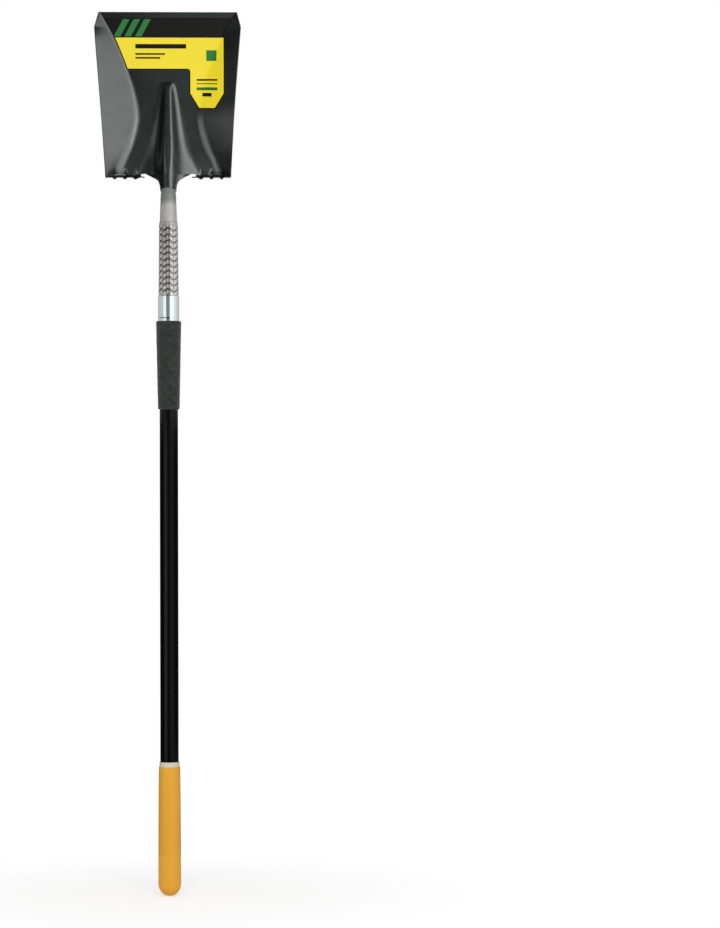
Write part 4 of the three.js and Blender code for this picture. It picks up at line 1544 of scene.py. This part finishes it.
@dataclass
class Studio:
    """Pale floor, white surroundings, a soft box, gloss cards and the camera of the photograph."""

    lamp: Lamp = Lamp(
        "front_box", azimuth=4, width=3.0, height=3.4, radiance=2.6, distance=4.0, middle=0.3, aim=-0.4
    )
    cards: tuple[GlossCard, ...] = (  # the bent ones with their glow, low, high, start and stop
        RoundCard("front_roof_card", 0.13, 0.31, 2.2, -10, 22, tint=COOL),
        RoundCard("front_top_card", 0.06, 0.15, 0.31, -10, 22, tint=COOL),
        RoundCard("left_top_card", 0.01, -0.02, 2.2, -62, -10, tint=COOL),
        RoundCard("front_high_card", 0.3, -0.18, 0.15, -10, 22, tint=COOL),
        RoundCard("front_left_card", 0.3, -0.18, -0.02, -29, -10, tint=COOL),
        RoundCard("front_card", 0.07, -0.45, -0.18, -20, 22, tint=COOL),
        RoundCard("front_low_card", 0.05, -1.2, -0.45, -20, 22, tint=COOL),
        RoundCard("right_low_strip", 2.4, -1.2, -0.2, 24, 40),
        RoundCard("right_middle_strip", 1.1, -0.2, 0.19, 24, 40),
        RoundCard("right_strip", 2.4, 0.19, 0.42, 24, 40),
        RoundCard("right_top_strip", 1.1, 0.42, 2.2, 24, 40),
        RoundCard("right_card", 0.9, -1.2, 2.2, 40, 72),
        RoundCard("right_dim_card", 0.85, -1.2, 2.2, 72, 96),
        RoundCard("right_back_card", 0.65, -1.2, 2.2, 96, 145),
        RoundCard("left_low_card", 0.35, -1.2, -0.18, -62, -50),
        RoundCard("left_low_strip", 0.85, -1.2, -0.18, -50, -20),
        RoundCard("left_strip", 1.05, -0.18, -0.02, -62, -29),
        NearCard("sleeve_left_strip", 1.1, -0.13, -0.062, -46, -25),
        NearCard("ferrule_left_strip", 1.1, -0.235, -0.13, -55, -25),
        RoundCard("left_card", 0.62, -0.6, 2.2, -145, -62),
        RoundCard("left_low_side_card", 0.04, -1.2, -0.6, -145, -62),
        RoundCard("back_card", 0.3, -1.2, 2.2, 145, 215),
        NearCard("shaft_left_strip", 1.3, -1.05, -0.4, -58, -31),
        NearCard("shaft_left_flag", 0.02, -1.05, -0.4, -145, -58),
        NearCard("shaft_right_strip", 0.45, -1.05, -0.4, 24, 62),
        NearCard("shaft_right_flag", 0.02, -1.05, -0.4, 62, 145),
        NearCard("sleeve_front_card", 0.06, -0.18, -0.062, -25, 13.6),
        NearCard("sleeve_right_strip", 1.2, -0.235, -0.062, 13.6, 60),
        NearCard("left_crest_flag", 0.004, 0.06, 0.09, -40, -9),
        NearCard("left_edge_flag", 0.004, -0.045, 0.06, -75, -50),
        NearCard("left_near_flag", 0.05, 0.09, 1.0, -75, -9),
        SideFlag("left_front_flag", 0.13, -0.04, 1.0, side=-0.22, front=-0.2, back=-0.12),
        SideFlag("left_back_flag", 0.0, -0.04, 1.0, side=-0.22, front=-0.12, back=0.35),
        NearCard("frog_right_flag", 0.05, -0.035, 0.06, 62, 115),
        LevelCard("table_card", 0.03, -1.15, left=-3.1, right=0.3, front=-3.1, back=2.0),
        LevelCard("right_table_card", 0.85, -1.15, left=0.3, right=3.1, front=-3.1, back=-0.4),
        LevelCard("roof_card", 0.06, 2.1, left=-3.1, right=3.1, front=-3.1, back=3.1),
    )
    fill: float = 0.5
    floor_size: float = 8.0
    floor_gap: float = 0.0002
    floor_paint: str = "e6e6e6"
    floor_glow: float = 0.45
    floor_fade: tuple[float, float] = (0.15, 0.6)  # from the handle's axis
    floor_lines: int = 9
    camera_place: tuple[float, float, float] = (0.1343, -5.508, -0.4875)
    camera_turn: float = -1.983
    camera_roll: float = 0.12
    camera_depth: float = 5.5  # to the handle's axis, along the way the camera looks
    frame_pixels: tuple[int, int] = (720, 928)
    pixel_size: float = 0.0017  # of the plane through the handle's axis
    film: float = 36.0

    def seen_rays(self, graph: Graph) -> Output:
        """Mask that is 1 to the camera and to gloss and glass, and 0 to light on the shovel."""
        rays = graph.add("LightPath")
        seen = graph.maths("MAXIMUM", rays["Is Camera Ray"], rays["Is Glossy Ray"])
        return graph.maths("MAXIMUM", seen, rays["Is Transmission Ray"])

    def build_world(self) -> None:
        """Makes the surroundings: white to the camera and in gloss, and a plain fill light otherwise."""
        world = bpy.data.worlds.new("white_studio")
        bpy.context.scene.world = world
        graph = open_graph(world)
        strength = graph.remap(self.seen_rays(graph), target=(self.fill, 1.0))
        white = graph.add("Background", {"Color": linear("ffffff"), "Strength": strength})
        graph.add("OutputWorld", {"Surface": white["Background"]})

    def build_floor(self) -> None:
        """Makes the pale floor under the grip's end.

        The camera sees its plain white paint with a glow that fades to pure white away from the shovel,
        so that the floor keeps the shovel's shadow and its far edge melts into the background.
        """
        level = CAD_BOX[0].z - self.floor_gap
        reach = np.linspace(-self.floor_size, self.floor_size, self.floor_lines)
        x, y = np.meshgrid(reach, reach)
        floor = add_surface("studio_floor", np.stack([x, y, level + 0 * x], axis=-1))
        material = bpy.data.materials.new("matt_white_floor")
        graph = open_graph(material)
        paint = graph.add("BsdfDiffuse", {"Color": linear(self.floor_paint)})[0]
        glow = graph.add("Emission", {"Strength": self.floor_glow})[0]
        near = graph.add("AddShader", {0: paint, 1: glow})[0]
        white = graph.add("Emission", {"Strength": 1.0})[0]
        place = graph.add("TexCoord")["Object"]
        flat = graph.add("VectorMath", {0: place, 1: (1.0, 1.0, 0.0)}, operation="MULTIPLY")["Vector"]
        away = graph.add("VectorMath", {0: flat}, operation="LENGTH")["Value"]
        far = graph.remap(away, self.floor_fade, smooth=True)
        shown = graph.add("MixShader", {0: far, 1: near, 2: white})[0]
        mixed = graph.add("MixShader", {0: self.seen_rays(graph), 1: paint, 2: shown})[0]
        graph.add("OutputMaterial", {"Surface": mixed})
        floor.data.materials.append(material)

    def build_camera(self) -> None:
        """Makes the camera: level, with the lens that gives one photograph pixel its real size."""
        data = bpy.data.cameras.new("camera")
        data.sensor_fit = "AUTO"
        data.sensor_width = self.film
        view_height = max(self.frame_pixels) * self.pixel_size
        data.lens = self.film * self.camera_depth / view_height
        camera = bpy.data.objects.new("camera", data)
        camera.location = self.camera_place
        roll, turn = math.radians(self.camera_roll), math.radians(self.camera_turn)
        camera.rotation_euler = (math.pi / 2, roll, turn)
        bpy.context.scene.collection.objects.link(camera)
        bpy.context.scene.camera = camera

    def build(self) -> None:
        """Makes the whole studio."""
        bpy.context.scene.view_settings.view_transform = "Standard"
        self.build_world()
        self.build_floor()
        self.build_camera()
        for item in (self.lamp, *self.cards):
            item.build()
            LOG.info("studio: %s", item.name)


def main() -> None:
    """Builds the studio and the shovel's sub-assemblies in order."""
    logging.basicConfig(level=logging.INFO, format="%(name)s: %(message)s")
    blade = Blade()
    bead = WeldBead(blade)
    rivets = (Rivet("upper_rivet_head", Node.UPPER_RIVET), Rivet("lower_rivet_head", Node.LOWER_RIVET))
    socket = (Sleeve(bead), bead, *rivets)
    handle = (Ferrule(), Shaft(), FoamGrip(), EndGrip())
    for part in (Studio(), blade, Sticker(blade), *socket, *handle):
        part.build()
        LOG.info("%s done", type(part).__name__)


if __name__ == "__main__":
    main()
